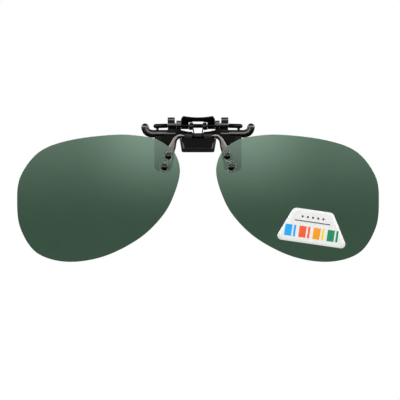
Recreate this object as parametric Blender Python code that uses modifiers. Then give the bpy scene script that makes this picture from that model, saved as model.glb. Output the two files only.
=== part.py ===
# Flip-up clip-on sunglasses. Two tinted lenses hang from a bridge that swings
# up on the front of a sprung clamp, and the clamp's claws reach over and under
# the nose bridge of a pair of spectacles and close behind their lenses.
#
# X runs to the right as seen from the front, Y to the rear and Z up. The origin
# is the middle of the flat rear face that rests against the spectacles.
import math

import bmesh
import bpy
from mathutils import Matrix, Vector

MM = 0.001

# Clearances
RUNNING_GAP = 0.10 * MM
SEAT_GAP = 0.05 * MM
SIDE_GAP = 0.20 * MM

# Lenses, with the outline as shares of their width from the nose outward and of
# their height from the bottom up
LENS_WIDTH = 59.3 * MM
LENS_HEIGHT = 46.0 * MM
LENS_NOSE_GAP = 13.1 * MM
LENS_TOP = 2.3 * MM
LENS_THICKNESS = 1.0 * MM
LENS_RADIUS = 265.0 * MM
LENS_OUTLINE = [
    (0.397, 1.000), (0.219, 0.986), (0.122, 0.954), (0.034, 0.864),
    (0.000, 0.726), (0.031, 0.548), (0.106, 0.364), (0.253, 0.181),
    (0.473, 0.039), (0.693, 0.000), (0.877, 0.076), (0.973, 0.264),
    (1.000, 0.469), (0.972, 0.674), (0.860, 0.864), (0.672, 0.958),
]
LENS_OUTLINE_STEPS = 4
LENS_FACET = 5.0 * MM

# Rivets that hold each lens on its arm
UPPER_RIVET_X = 10.70 * MM
UPPER_RIVET_Z = -5.35 * MM
LOWER_RIVET_X = 12.15 * MM
LOWER_RIVET_Z = -9.35 * MM
RIVET_SHANK_RADIUS = 0.50 * MM
RIVET_HEAD_RADIUS = 1.15 * MM
RIVET_HEAD_HEIGHT = 0.60 * MM
RIVET_TAIL_RADIUS = 0.90 * MM
RIVET_TAIL_HEIGHT = 0.45 * MM
RIVET_TAIL_EDGE = 0.18 * MM
WASHER_RADIUS = 2.00 * MM
WASHER_THICKNESS = 0.30 * MM

# Lens bridge: a round bar in the middle and a flat arm to each lens
BAR_Y = -2.80 * MM
BAR_Z = 2.08 * MM
BAR_RADIUS = 0.60 * MM
ARM_THICKNESS = 0.80 * MM
ARM_START_X = 5.15 * MM
ARM_NECK_WIDTH = 1.27 * MM
ARM_TAB_WIDTH = 3.80 * MM
# Points along an arm, as (outward, down, width) from where it leaves the bar
ARM_BENDS = [
    (1.70 * MM, 0.08 * MM, 1.43 * MM), (3.02 * MM, 1.06 * MM, 1.47 * MM),
    (3.67 * MM, 2.51 * MM, 1.90 * MM), (4.15 * MM, 3.91 * MM, 2.55 * MM),
    (4.88 * MM, 5.50 * MM, 3.14 * MM),
]
CAM_SIZE = 1.60 * MM
CAM_EDGE = 0.30 * MM
CAM_HALF_WIDTH = 1.68 * MM

# Base bracket
EAR_OUTER_X = 7.87 * MM
EAR_THICKNESS = 1.67 * MM
EAR_HALF_DEPTH = 1.10 * MM
EAR_TOP = 7.65 * MM
EAR_STEM_DEPTH = 1.75 * MM
EAR_CROWN = 1.05 * MM
EAR_BEND = 0.28 * MM
WEB_HALF_WIDTH = 6.00 * MM
WEB_HALF_HEIGHT = 2.70 * MM
WEB_HORN_TOP = 4.38 * MM
WEB_HORN_BEND_X = 4.00 * MM
WEB_HORN_BEND_Z = 3.72 * MM
WEB_HORN_INNER_X = 1.95 * MM
WEB_HORN_INNER_Z = 3.42 * MM
WEB_HORN_CORNER = 0.30 * MM
WEB_NOTCH_BOTTOM = 3.10 * MM
WEB_THICKNESS = 1.00 * MM
WEB_CORNER = 0.80 * MM
SHOULDER_HALF_WIDTH = 10.90 * MM
SHOULDER_BOTTOM = 2.00 * MM
SHOULDER_DEPTH = 1.65 * MM
SOCKET_RADIUS = 0.90 * MM
SOCKET_PROUD = 0.40 * MM
SOCKET_INNER_X = 8.15 * MM
SOCKET_LIP = 0.30 * MM
CLAW_LIP_TOP = 4.90 * MM
CLAW_LIP_THICKNESS = 0.25 * MM
STEP_BACK = 0.05 * MM
WING_HALF_WIDTH = 13.50 * MM
WING_BOTTOM = -3.40 * MM
WING_SLOPE_TOP = 2.40 * MM
WING_THICKNESS = 0.65 * MM

# Rest pads behind the lenses
PAD_THICKNESS = 1.15 * MM
PAD_INNER_X = 8.45 * MM
PAD_FOOT_INNER_X = 9.60 * MM
PAD_OUTER_X = 15.80 * MM
PAD_BOTTOM = -10.80 * MM
PAD_CORNER = 2.00 * MM
PAD_TOP_CORNER = 0.50 * MM

# Thumb pad, a wedge box with round front corners and two knuckles round the bar
THUMB_HALF_WIDTH = 6.60 * MM
THUMB_FOOT_HALF_WIDTH = 5.75 * MM
THUMB_TOP = 1.15 * MM
THUMB_BOTTOM = -3.90 * MM
THUMB_TOP_DEPTH = 4.40 * MM
THUMB_FOOT_DEPTH = 6.40 * MM
THUMB_CORNER = 0.45 * MM
THUMB_SIDE_ROUNDING = 1.30 * MM
THUMB_FOOT_CHAMFER = 1.30 * MM
THUMB_WALL = 0.80 * MM
KNUCKLE_RADIUS = 1.50 * MM
KNUCKLE_FOOT_DEPTH = 2.20 * MM
KNUCKLE_INNER_X = 2.12 * MM
THUMB_RIVET_X = 3.20 * MM
THUMB_RIVET_Z = -0.90 * MM
THUMB_RIVET_RADIUS = 0.50 * MM
THUMB_RIVET_HEAD_RADIUS = 0.95 * MM
THUMB_RIVET_HEAD_DEPTH = 0.45 * MM
THUMB_RIVET_LENGTH = 3.00 * MM
THUMB_BOSS_RADIUS = 1.15 * MM

# Jaw axle and the finger plate that turns on it
AXLE_Y = -1.20 * MM
AXLE_Z = 5.70 * MM
AXLE_RADIUS = 0.40 * MM
BUSH_RADIUS = 0.62 * MM
FINGER_KNUCKLE_RADIUS = 1.20 * MM
FINGER_KNUCKLE_INNER_X = 3.38 * MM
FINGER_THICKNESS = 1.10 * MM
FINGER_ROOT_RISE = 0.65 * MM
FINGER_BEND_Y = -2.70 * MM
FINGER_BEND_Z = 8.00 * MM
FINGER_FRONT_Y = -8.00 * MM
FINGER_FRONT_Z = 8.85 * MM
FINGER_CORNER = 1.30 * MM
FINGER_CREST_CORNER = 1.90 * MM
FINGER_DISH = 0.72 * MM
FINGER_EDGE = 0.50 * MM
FINGER_FOLD = 1.10 * MM
SIGHT_SLOT_HALF_WIDTH = 2.10 * MM
SIGHT_SLOT_TOP = 7.22 * MM

# Upper claws, arched over the spectacles
CLAW_HUB_RADIUS = 1.00 * MM
CLAW_HUB_STEP = 0.47 * MM
CLAW_ARM_WIDTH = 2.60 * MM
CLAW_ARM_THICKNESS = 1.40 * MM
CLAW_TOP = 8.80 * MM
CLAW_REAR_Y = 6.30 * MM
CLAW_LEG_THICKNESS = 1.55 * MM
CLAW_LEG_BOTTOM = 4.85 * MM
CLAW_INNER_BEND = 0.55 * MM
CLAW_OUTER_BEND = 1.25 * MM
CLAW_FRONT_BEND = 1.10 * MM
CLAW_ROD_RADIUS = 0.40 * MM
CLAW_ROD_Z = 5.82 * MM
CLAW_ROD_DROP = 0.15 * MM
UPPER_SLEEVE_RADIUS = 0.77 * MM
UPPER_SLEEVE_END = 16.30 * MM
TOOTH_X = 14.80 * MM
TOOTH_WIDTH = 1.00 * MM
TOOTH_BOTTOM = 4.38 * MM

# Lower claws: a wire in a soft sleeve, back, outward and up at the tip
LOWER_CLAW_X = 7.60 * MM
LOWER_CLAW_Z = 2.90 * MM
LOWER_CLAW_Y = 6.05 * MM
LOWER_CLAW_TURN = 1.70 * MM
LOWER_CLAW_REACH = 19.40 * MM
LOWER_CLAW_TIP_Z = 6.75 * MM
LOWER_WIRE_RADIUS = 0.60 * MM
LOWER_SLEEVE_RADIUS = 1.36 * MM
WIRE_SOCKET_DEPTH = 1.30 * MM
# Points of the hook, as (inward, up) from the tip's line and the claw's height
LOWER_CLAW_HOOK = [
    (3.90 * MM, 0.00 * MM), (2.50 * MM, 0.02 * MM), (1.25 * MM, 0.38 * MM), (0.45 * MM, 1.10 * MM),
]

# Jaw spring: two coils on the axle, joined by a loop that bears on the cam's rear
SPRING_WIRE_RADIUS = 0.21 * MM
SPRING_COIL_RADIUS = 0.98 * MM
SPRING_PITCH = 0.47 * MM
SPRING_COIL_X = 2.15 * MM
SPRING_LOOP_HALF_WIDTH = 1.40 * MM
SPRING_LOOP_RISE = 0.35 * MM
SPRING_WHOLE_TURNS = 1
SPRING_TAIL_ANGLE = math.radians(315)
SPRING_TAIL_LENGTH = 2.00 * MM
SPRING_POINTS_PER_TURN = 10

# Label on the right lens
LABEL_X = 41.30 * MM
LABEL_Z = -31.00 * MM
LABEL_TOP_WIDTH = 15.00 * MM
LABEL_BOTTOM_WIDTH = 25.30 * MM
LABEL_HEIGHT = 12.30 * MM
LABEL_TILT = math.radians(-8.3)
LABEL_THICKNESS = 0.12 * MM
LABEL_CORNER = 1.50 * MM

# How finely round shapes are drawn
EDGE_ROUNDING = 0.18 * MM
ARC_STEPS = 4
CIRCLE_SIDES = 24
CORNER_SHARE = 0.48
DOME_END = math.radians(80)
BEVEL_FROM = math.radians(50)
SMOOTH_UP_TO = math.radians(35)
FLAT_UP_TO = math.radians(0.2)
MERGE_DISTANCE = 0.001 * MM

# A flat outline drawn as (across, up) faces the front, and one drawn as
# (rearward, up) faces the side.
FACING_FRONT = Matrix.Rotation(math.radians(90), 4, "X")
FACING_SIDE = Matrix(((0, 0, 1, 0), (1, 0, 0, 0), (0, 1, 0, 0), (0, 0, 0, 1)))
LEFT_AND_RIGHT = (("left", -1), ("right", 1))


def clear_scene():
    for item in list(bpy.data.objects):
        bpy.data.objects.remove(item, do_unlink=True)


def make_collection(name):
    collection = bpy.data.collections.new(name)
    bpy.context.scene.collection.children.link(collection)
    return collection


def make_material(name, colour, roughness, metallic=0.0, alpha=1.0):
    material = bpy.data.materials.new(name)
    material.use_nodes = True
    shader = material.node_tree.nodes["Principled BSDF"]
    shader.inputs["Base Color"].default_value = (*colour, 1.0)
    shader.inputs["Roughness"].default_value = roughness
    shader.inputs["Metallic"].default_value = metallic
    shader.inputs["Alpha"].default_value = alpha
    return material


clear_scene()
PARTS = make_collection("flip_up_clip_on_sunglasses")
CUTTERS = make_collection("cutters")


# Shapes

def add_shape(name, mesh, matrix):
    """A mesh object that starts out as a construction shape."""
    shape = bpy.data.objects.new(name, mesh)
    CUTTERS.objects.link(shape)
    shape.matrix_world = matrix
    shape.hide_render = True
    shape.display_type = "WIRE"
    return shape


def curve_to_shape(name, curve, matrix):
    """Turns a curve into a closed mesh with its caps welded on."""
    holder = bpy.data.objects.new(name, curve)
    CUTTERS.objects.link(holder)
    holder.matrix_world = matrix
    bpy.context.view_layer.update()
    evaluated = holder.evaluated_get(bpy.context.evaluated_depsgraph_get())
    mesh = bpy.data.meshes.new_from_object(evaluated)
    bpy.data.objects.remove(holder, do_unlink=True)
    bm = bmesh.new()
    bm.from_mesh(mesh)
    bmesh.ops.remove_doubles(bm, verts=bm.verts, dist=MERGE_DISTANCE)
    bmesh.ops.dissolve_limit(bm, angle_limit=FLAT_UP_TO, verts=bm.verts, edges=bm.edges)
    bmesh.ops.recalc_face_normals(bm, faces=bm.faces)
    bm.to_mesh(mesh)
    bm.free()
    return add_shape(name, mesh, matrix)


def plate(name, outline, thickness, facing, centre, holes=()):
    """A flat outline, with holes, made into a solid about its middle plane."""
    curve = bpy.data.curves.new(name, "CURVE")
    curve.dimensions = "2D"
    curve.fill_mode = "BOTH"
    curve.extrude = thickness / 2
    for points in (outline, *holes):
        spline = curve.splines.new("POLY")
        spline.points.add(len(points) - 1)
        for slot, point in zip(spline.points, points):
            slot.co = (point[0], point[1], 0, 1)
        spline.use_cyclic_u = True
    return curve_to_shape(name, curve, Matrix.Translation(centre) @ facing)


def tube(name, points, radius, sides=12, thinning=None):
    """A round bar along a list of points, thinned where a list of shares says so."""
    curve = bpy.data.curves.new(name, "CURVE")
    curve.dimensions = "3D"
    curve.bevel_depth = radius
    curve.bevel_resolution = sides // 2 - 2
    curve.use_fill_caps = True
    spline = curve.splines.new("POLY")
    spline.points.add(len(points) - 1)
    for slot, point in zip(spline.points, points):
        slot.co = (*point, 1)
    if thinning:
        for slot, share in zip(spline.points, thinning):
            slot.radius = share
    return curve_to_shape(name, curve, Matrix.Identity(4))


def block(name, low, high):
    """A box between two corners."""
    mesh = bpy.data.meshes.new(name)
    bm = bmesh.new()
    bmesh.ops.create_cube(bm, size=1)
    size = Vector(high) - Vector(low)
    bmesh.ops.scale(bm, vec=size, verts=bm.verts)
    bm.to_mesh(mesh)
    bm.free()
    middle = (Vector(low) + Vector(high)) / 2
    return add_shape(name, mesh, Matrix.Translation(middle))


def bar_along_x(name, radius, from_x, to_x, y, z):
    """A round bar that lies along X."""
    mesh = bpy.data.meshes.new(name)
    bm = bmesh.new()
    bmesh.ops.create_cone(
        bm, cap_ends=True, segments=CIRCLE_SIDES,
        radius1=radius, radius2=radius, depth=abs(to_x - from_x),
    )
    bm.to_mesh(mesh)
    bm.free()
    matrix = Matrix.Translation(((from_x + to_x) / 2, y, z)) @ FACING_SIDE
    return add_shape(name, mesh, matrix)


def turned(name, profile, x, z):
    """A shape turned about a line along Y, from (radius, y) profile points."""
    mesh = bpy.data.meshes.new(name)
    bm = bmesh.new()
    verts = [bm.verts.new((radius, 0, -y)) for radius, y in profile]
    for start, end in zip(verts, verts[1:]):
        bm.edges.new((start, end))
    bm.to_mesh(mesh)
    bm.free()
    shape = add_shape(name, mesh, Matrix.Translation((x, 0, z)) @ FACING_FRONT)
    screw = shape.modifiers.new("turn", "SCREW")
    screw.axis = "Z"
    screw.steps = CIRCLE_SIDES
    screw.render_steps = CIRCLE_SIDES
    screw.use_merge_vertices = True
    screw.merge_threshold = MERGE_DISTANCE
    return shape


def curved_sheet(name, side, front_y, thickness, outline, holes=()):
    """A sheet that follows the front of a lens, cut to an outline."""
    sphere_radius = LENS_RADIUS + LENS_BACK_Y - front_y
    middle_x = side * (LENS_NOSE_GAP + LENS_WIDTH) / 2
    middle_z = LENS_TOP - LENS_HEIGHT / 2
    margin = 2 * LENS_FACET
    mesh = bpy.data.meshes.new(name)
    bm = bmesh.new()
    bmesh.ops.create_grid(
        bm, size=0.5,
        x_segments=round((LENS_WIDTH + margin) / LENS_FACET),
        y_segments=round((LENS_HEIGHT + margin) / LENS_FACET),
    )
    for vert in bm.verts:
        x = middle_x + vert.co.x * (LENS_WIDTH + margin)
        z = middle_z + vert.co.y * (LENS_HEIGHT + margin)
        away = math.hypot(x - side * CURVE_CENTRE_X, z - CURVE_CENTRE_Z)
        drop = sphere_radius - math.sqrt(sphere_radius ** 2 - away ** 2)
        vert.co = (x, front_y + drop, z)
    bmesh.ops.recalc_face_normals(bm, faces=bm.faces)
    if sum(face.normal.y for face in bm.faces) > 0:
        bmesh.ops.reverse_faces(bm, faces=bm.faces)
    bm.to_mesh(mesh)
    bm.free()
    sheet = add_shape(name, mesh, Matrix.Identity(4))
    wall = sheet.modifiers.new("wall", "SOLIDIFY")
    wall.thickness = thickness
    wall.offset = -1
    reach = LENS_WIDTH
    middle = (0, front_y, 0)
    combine(sheet, "INTERSECT", plate(name + "_outline", outline, reach, FACING_FRONT, middle, holes))
    return sheet


def combine(shape, operation, tool):
    """Joins a shape with another, cuts it by another or keeps what they share."""
    boolean = shape.modifiers.new(tool.name, "BOOLEAN")
    boolean.operation = operation
    boolean.object = tool


def round_edges(shape, width=EDGE_ROUNDING, segments=2):
    bevel = shape.modifiers.new("rounded_edges", "BEVEL")
    bevel.width = width
    bevel.segments = segments
    bevel.limit_method = "ANGLE"
    bevel.angle_limit = BEVEL_FROM


def finish(shape, name, material, axis=None):
    """Makes a construction shape one of the object's parts."""
    shape.name = name
    shape.hide_render = False
    shape.display_type = "TEXTURED"
    CUTTERS.objects.unlink(shape)
    PARTS.objects.link(shape)
    shape.data.materials.clear()
    shape.data.materials.append(material)
    shape.data.shade_smooth()
    shape.data.set_sharp_from_angle(angle=SMOOTH_UP_TO)
    if axis:
        shape.parent = axis
        shape.matrix_parent_inverse = axis.matrix_world.inverted()


def joint_axis(name, y, z):
    """An empty on the line that a moving group turns about."""
    axis = bpy.data.objects.new(name, None)
    axis.empty_display_size = 5 * MM
    axis.location = (0, y, z)
    PARTS.objects.link(axis)
    bpy.context.view_layer.update()
    return axis


# Outlines

def circle(x, y, radius, sides=CIRCLE_SIDES):
    turns = [2 * math.pi * index / sides for index in range(sides)]
    return [(x + radius * math.cos(turn), y + radius * math.sin(turn)) for turn in turns]


def rounded_outline(corners):
    """Points of an outline whose (across, up, radius) corners become arcs."""
    points = []
    for index, (across, up, radius) in enumerate(corners):
        here = Vector((across, up))
        if radius == 0:
            points.append(tuple(here))
            continue
        to_last = Vector(corners[index - 1][:2]) - here
        to_next = Vector(corners[(index + 1) % len(corners)][:2]) - here
        half_angle = to_last.angle(to_next) / 2
        longest = CORNER_SHARE * min(to_last.length, to_next.length)
        reach = min(radius / math.tan(half_angle), longest)
        arc_radius = reach * math.tan(half_angle)
        inward = (to_last.normalized() + to_next.normalized()).normalized()
        centre = here + inward * arc_radius / math.sin(half_angle)
        first = here + to_last.normalized() * reach - centre
        last = here + to_next.normalized() * reach - centre
        turn = -first.angle_signed(last)
        for step in range(ARC_STEPS + 1):
            arm = first.copy()
            arm.rotate(Matrix.Rotation(turn * step / ARC_STEPS, 2))
            points.append(tuple(centre + arm))
    return points


def smooth_points(guides, steps, closed=False):
    """Points on a smooth curve through the guide points."""
    guides = [Vector(guide) for guide in guides]
    count = len(guides)
    spans = count if closed else count - 1
    points = []
    for index in range(spans):
        start = guides[index]
        end = guides[(index + 1) % count]
        before = guides[index - 1] if closed or index > 0 else start * 2 - end
        after = guides[(index + 2) % count] if closed or index < spans - 1 else end * 2 - start
        for step in range(steps):
            t = step / steps
            points.append(
                0.5 * (
                    2 * start
                    + (end - before) * t
                    + (2 * before - 5 * start + 4 * end - after) * t ** 2
                    + (3 * start - before - 3 * end + after) * t ** 3
                )
            )
    if not closed:
        points.append(guides[-1])
    return points


def lens_outline(side):
    """Outline of one lens, seen from the front."""
    edge = smooth_points(LENS_OUTLINE, LENS_OUTLINE_STEPS, closed=True)
    outline = []
    for share in edge:
        x = LENS_NOSE_GAP / 2 + share[0] * LENS_WIDTH
        z = LENS_TOP - LENS_HEIGHT + share[1] * LENS_HEIGHT
        outline.append((side * x, z))
    return outline


def rivet_places(side):
    return (
        ("upper", side * UPPER_RIVET_X, UPPER_RIVET_Z),
        ("lower", side * LOWER_RIVET_X, LOWER_RIVET_Z),
    )


# Places that follow from the sizes above

FLAT_ARM_FRONT = BAR_Y - ARM_THICKNESS / 2
FLAT_ARM_BACK = BAR_Y + ARM_THICKNESS / 2
REAR_WASHER_FRONT = FLAT_ARM_FRONT - SEAT_GAP - WASHER_THICKNESS
LENS_BACK_Y = REAR_WASHER_FRONT - SEAT_GAP
LENS_FRONT_Y = LENS_BACK_Y - LENS_THICKNESS
FRONT_WASHER_FRONT = LENS_FRONT_Y - SEAT_GAP - WASHER_THICKNESS
CURVE_CENTRE_X = (UPPER_RIVET_X + LOWER_RIVET_X) / 2
CURVE_CENTRE_Z = (UPPER_RIVET_Z + LOWER_RIVET_Z) / 2
EAR_INNER_X = EAR_OUTER_X - EAR_THICKNESS
EAR_FOOT = BAR_Z - ARM_NECK_WIDTH / 2 + STEP_BACK
EAR_BORE = AXLE_RADIUS + RUNNING_GAP
SHOULDER_TOP = AXLE_Z - CLAW_HUB_RADIUS - SEAT_GAP
HUB_INNER_X = EAR_OUTER_X + RUNNING_GAP
FINGER_HALF_WIDTH = EAR_INNER_X - RUNNING_GAP
KNUCKLE_OUTER_X = ARM_START_X - SIDE_GAP
CAM_REACH = CAM_SIZE / 2 * math.sqrt(2) - CAM_EDGE * (math.sqrt(2) - 1)
COIL_OUTSIDE = SPRING_COIL_RADIUS + SPRING_WIRE_RADIUS
PAD_TOP = SHOULDER_BOTTOM - SEAT_GAP
CLAW_ARM_INNER_X = HUB_INNER_X + CLAW_HUB_STEP
CLAW_ARM_OUTER_X = CLAW_ARM_INNER_X + CLAW_ARM_WIDTH
CLAW_ROD_Y = CLAW_REAR_Y - CLAW_LEG_THICKNESS / 2


# Lens carrier

def make_lens(side_name, side, material, axis):
    hole = RIVET_SHANK_RADIUS + RUNNING_GAP
    holes = [circle(x, z, hole) for _, x, z in rivet_places(side)]
    name = "lens_" + side_name
    lens = curved_sheet(name, side, LENS_FRONT_Y, LENS_THICKNESS, lens_outline(side), holes)
    finish(lens, name, material, axis)


def make_rivet(name, x, z, material, axis):
    tail_back = FLAT_ARM_BACK + SEAT_GAP + RIVET_TAIL_HEIGHT
    tail_front = FLAT_ARM_BACK + SEAT_GAP
    head_back = FRONT_WASHER_FRONT - SEAT_GAP
    head_front = head_back - RIVET_HEAD_HEIGHT
    dome = []
    for step in range(ARC_STEPS, 0, -1):
        turn = math.pi / 2 * step / ARC_STEPS
        dome.append((
            RIVET_HEAD_RADIUS * math.sin(turn),
            head_back - RIVET_HEAD_HEIGHT * math.cos(turn),
        ))
    profile = [
        (0, head_front), *reversed(dome),
        (RIVET_SHANK_RADIUS, head_back), (RIVET_SHANK_RADIUS, tail_front),
        (RIVET_TAIL_RADIUS, tail_front), (RIVET_TAIL_RADIUS - RIVET_TAIL_EDGE, tail_back), (0, tail_back),
    ]
    finish(turned(name, profile, x, z), name, material, axis)


def make_washer(name, x, z, front_y, material, axis):
    bore = RIVET_SHANK_RADIUS + RUNNING_GAP
    middle = (0, front_y + WASHER_THICKNESS / 2, 0)
    washer = plate(
        name, circle(x, z, WASHER_RADIUS), WASHER_THICKNESS, FACING_FRONT, middle,
        [circle(x, z, bore)],
    )
    finish(washer, name, material, axis)


def arm_outline(side):
    """Outline of a flat arm: a neck that bends down and widens to a tab."""
    route = [(ARM_START_X, BAR_Z, ARM_NECK_WIDTH)]
    for outward, down, width in ARM_BENDS:
        route.append((ARM_START_X + outward, BAR_Z - down, width))
    route.append((UPPER_RIVET_X, UPPER_RIVET_Z, ARM_TAB_WIDTH))
    route.append((LOWER_RIVET_X, LOWER_RIVET_Z, ARM_TAB_WIDTH))
    line = smooth_points(route, ARC_STEPS)
    near = []
    far = []
    for index, point in enumerate(line):
        ahead = line[min(index + 1, len(line) - 1)] - line[max(index - 1, 0)]
        across = Vector((-ahead.y, ahead.x)).normalized() * point.z / 2
        near.append(point.xy - across)
        far.append(point.xy + across)
    end = far[-1] - near[-1]
    tip = []
    for step in range(1, 2 * ARC_STEPS):
        arm = -end / 2
        arm.rotate(Matrix.Rotation(math.pi * step / (2 * ARC_STEPS), 2))
        tip.append(line[-1].xy + arm)
    outline = near + tip + far[::-1]
    return [(side * point.x, point.y) for point in outline]


def make_lens_bridge(material, axis):
    bar = bar_along_x("lens_bridge", BAR_RADIUS, -ARM_START_X - BAR_RADIUS,
                      ARM_START_X + BAR_RADIUS, BAR_Y, BAR_Z)
    half = CAM_SIZE / 2
    cam = block("cam", (-CAM_HALF_WIDTH, BAR_Y - half, BAR_Z - half),
                (CAM_HALF_WIDTH, BAR_Y + half, BAR_Z + half))
    round_edges(cam, CAM_EDGE)
    combine(bar, "UNION", cam)
    hole = RIVET_SHANK_RADIUS + RUNNING_GAP
    for side_name, side in LEFT_AND_RIGHT:
        holes = [circle(x, z, hole) for _, x, z in rivet_places(side)]
        arm = plate("arm_" + side_name, arm_outline(side), ARM_THICKNESS, FACING_FRONT,
                    (0, BAR_Y, 0), holes)
        combine(bar, "UNION", arm)
    finish(bar, "lens_bridge", material, axis)


def label_outline():
    half_top = LABEL_TOP_WIDTH / 2
    half_bottom = LABEL_BOTTOM_WIDTH / 2
    half_height = LABEL_HEIGHT / 2
    corners = [
        (-half_top, half_height, LABEL_CORNER), (-half_bottom, -half_height, LABEL_CORNER),
        (half_bottom, -half_height, LABEL_CORNER), (half_top, half_height, LABEL_CORNER),
    ]
    tilt = Matrix.Rotation(LABEL_TILT, 2)
    middle = Vector((LABEL_X, LABEL_Z))
    return [tuple(middle + tilt @ Vector(point)) for point in rounded_outline(corners)]


def make_label(material, axis):
    front = LENS_FRONT_Y - SEAT_GAP - LABEL_THICKNESS
    label = curved_sheet("label", 1, front, LABEL_THICKNESS, label_outline())
    finish(label, "label", material, axis)


def make_lens_carrier(materials):
    axis = joint_axis("flip_axis", BAR_Y, BAR_Z)
    make_lens_bridge(materials["gunmetal"], axis)
    for side_name, side in LEFT_AND_RIGHT:
        make_lens(side_name, side, materials["lens"], axis)
        for level, x, z in rivet_places(side):
            ending = "_" + level + "_" + side_name
            make_rivet("lens_rivet" + ending, x, z, materials["black_metal"], axis)
            make_washer("front_washer" + ending, x, z, FRONT_WASHER_FRONT,
                        materials["clear_plastic"], axis)
            make_washer("rear_washer" + ending, x, z, REAR_WASHER_FRONT,
                        materials["clear_plastic"], axis)
    make_label(materials["label"], axis)


# Clip base

def make_base_bracket(material):
    web = plate("base_bracket", web_outline(), WEB_THICKNESS, FACING_FRONT,
                (0, -WEB_THICKNESS / 2, 0))
    round_edges(web)
    for side_name, side in LEFT_AND_RIGHT:
        combine(web, "UNION", ear(side_name, side))
        combine(web, "UNION", shoulder(side_name, side))
        combine(web, "UNION", wing(side_name, side))
        socket = [
            (side * LOWER_CLAW_X, -WIRE_SOCKET_DEPTH, LOWER_CLAW_Z),
            (side * LOWER_CLAW_X, WIRE_SOCKET_DEPTH, LOWER_CLAW_Z),
        ]
        bore = LOWER_WIRE_RADIUS + RUNNING_GAP
        combine(web, "DIFFERENCE", tube("wire_socket_" + side_name, socket, bore))
        hole = thumb_rivet_shape("rivet_hole_" + side_name, side, SEAT_GAP)
        combine(web, "DIFFERENCE", hole)
    axle_hole = bar_along_x("axle_hole", EAR_BORE, -CLAW_ARM_OUTER_X, CLAW_ARM_OUTER_X,
                            AXLE_Y, AXLE_Z)
    combine(web, "DIFFERENCE", axle_hole)
    finish(web, "base_bracket", material)


def web_outline():
    """The web's outline: two horns beside the cam reach up and out into the ears."""
    top_x = EAR_OUTER_X - EAR_THICKNESS / 2
    step_z = EAR_FOOT + STEP_BACK
    half = [
        (WEB_HALF_WIDTH, -WEB_HALF_HEIGHT, WEB_CORNER), (WEB_HALF_WIDTH, step_z + 3 * STEP_BACK, 0),
        (top_x, step_z, 0), (top_x, WEB_HORN_TOP, 0), (WEB_HORN_BEND_X, WEB_HORN_BEND_Z, WEB_HORN_CORNER),
        (WEB_HORN_INNER_X, WEB_HORN_INNER_Z, WEB_HORN_CORNER / 2), (WEB_HORN_INNER_X, WEB_NOTCH_BOTTOM, 0),
    ]
    other_half = [(-x, z, radius) for x, z, radius in reversed(half)]
    return rounded_outline(half + other_half)


def ear(side_name, side):
    """The upright cheek with a round top that carries the jaw axle."""
    front = -EAR_STEM_DEPTH
    back = -STEP_BACK
    nose = AXLE_Y - EAR_HALF_DEPTH
    heel = AXLE_Y + EAR_HALF_DEPTH
    corners = [
        (front, EAR_FOOT, 0), (back, EAR_FOOT, 0), (back, SHOULDER_TOP, EAR_BEND),
        (heel, AXLE_Z - EAR_HALF_DEPTH / 2, 0), (heel, EAR_TOP, EAR_CROWN),
        (nose, EAR_TOP, EAR_CROWN), (nose, AXLE_Z - EAR_HALF_DEPTH / 2, 0),
        (front, SHOULDER_TOP, EAR_BEND),
    ]
    middle = (side * (EAR_OUTER_X - EAR_THICKNESS / 2), 0, 0)
    stem = plate("ear_" + side_name, rounded_outline(corners), EAR_THICKNESS, FACING_SIDE, middle)
    round_edges(stem)
    return stem


def shoulder(side_name, side):
    """The block outside the ear, with a round socket, that holds the lower claw and the wing.

    Its low lip stands behind the upper claw's hub.
    """
    inner = side * (EAR_OUTER_X - EAR_THICKNESS / 3)
    outer = side * SHOULDER_HALF_WIDTH
    low = (min(inner, outer), -SHOULDER_DEPTH, SHOULDER_BOTTOM)
    high = (max(inner, outer), -2 * STEP_BACK, SHOULDER_TOP)
    shape = block("shoulder_" + side_name, low, high)
    round_edges(shape)
    lip_back = high[1] - STEP_BACK
    lip_low = (low[0] + STEP_BACK, lip_back - CLAW_LIP_THICKNESS, SHOULDER_BOTTOM + STEP_BACK)
    lip_high = (high[0] - STEP_BACK, lip_back, CLAW_LIP_TOP)
    combine(shape, "UNION", block("claw_lip_" + side_name, lip_low, lip_high))
    socket_end = side * (SHOULDER_HALF_WIDTH + SOCKET_LIP)
    socket_y = SOCKET_RADIUS - SHOULDER_DEPTH - SOCKET_PROUD
    barrel = bar_along_x("claw_socket_" + side_name, SOCKET_RADIUS, side * SOCKET_INNER_X,
                         socket_end, socket_y, LOWER_CLAW_Z)
    combine(shape, "UNION", barrel)
    return shape


def wing(side_name, side):
    """The flat tab that the rest pad is bonded to."""
    back = -PAD_THICKNESS - SEAT_GAP
    top = SHOULDER_TOP - 4 * STEP_BACK
    outer = SHOULDER_HALF_WIDTH - 4 * STEP_BACK
    corners = [
        (PAD_INNER_X, top, 0), (PAD_INNER_X, WING_BOTTOM, PAD_CORNER / 2),
        (WING_HALF_WIDTH, WING_BOTTOM, PAD_CORNER), (WING_HALF_WIDTH, PAD_TOP, PAD_TOP_CORNER),
        (outer, WING_SLOPE_TOP, PAD_CORNER / 2), (outer, top, 0),
    ]
    outline = [(side * x, z) for x, z in rounded_outline(corners)]
    middle = (0, back - WING_THICKNESS / 2, 0)
    return plate("wing_" + side_name, outline, WING_THICKNESS, FACING_FRONT, middle)


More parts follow.
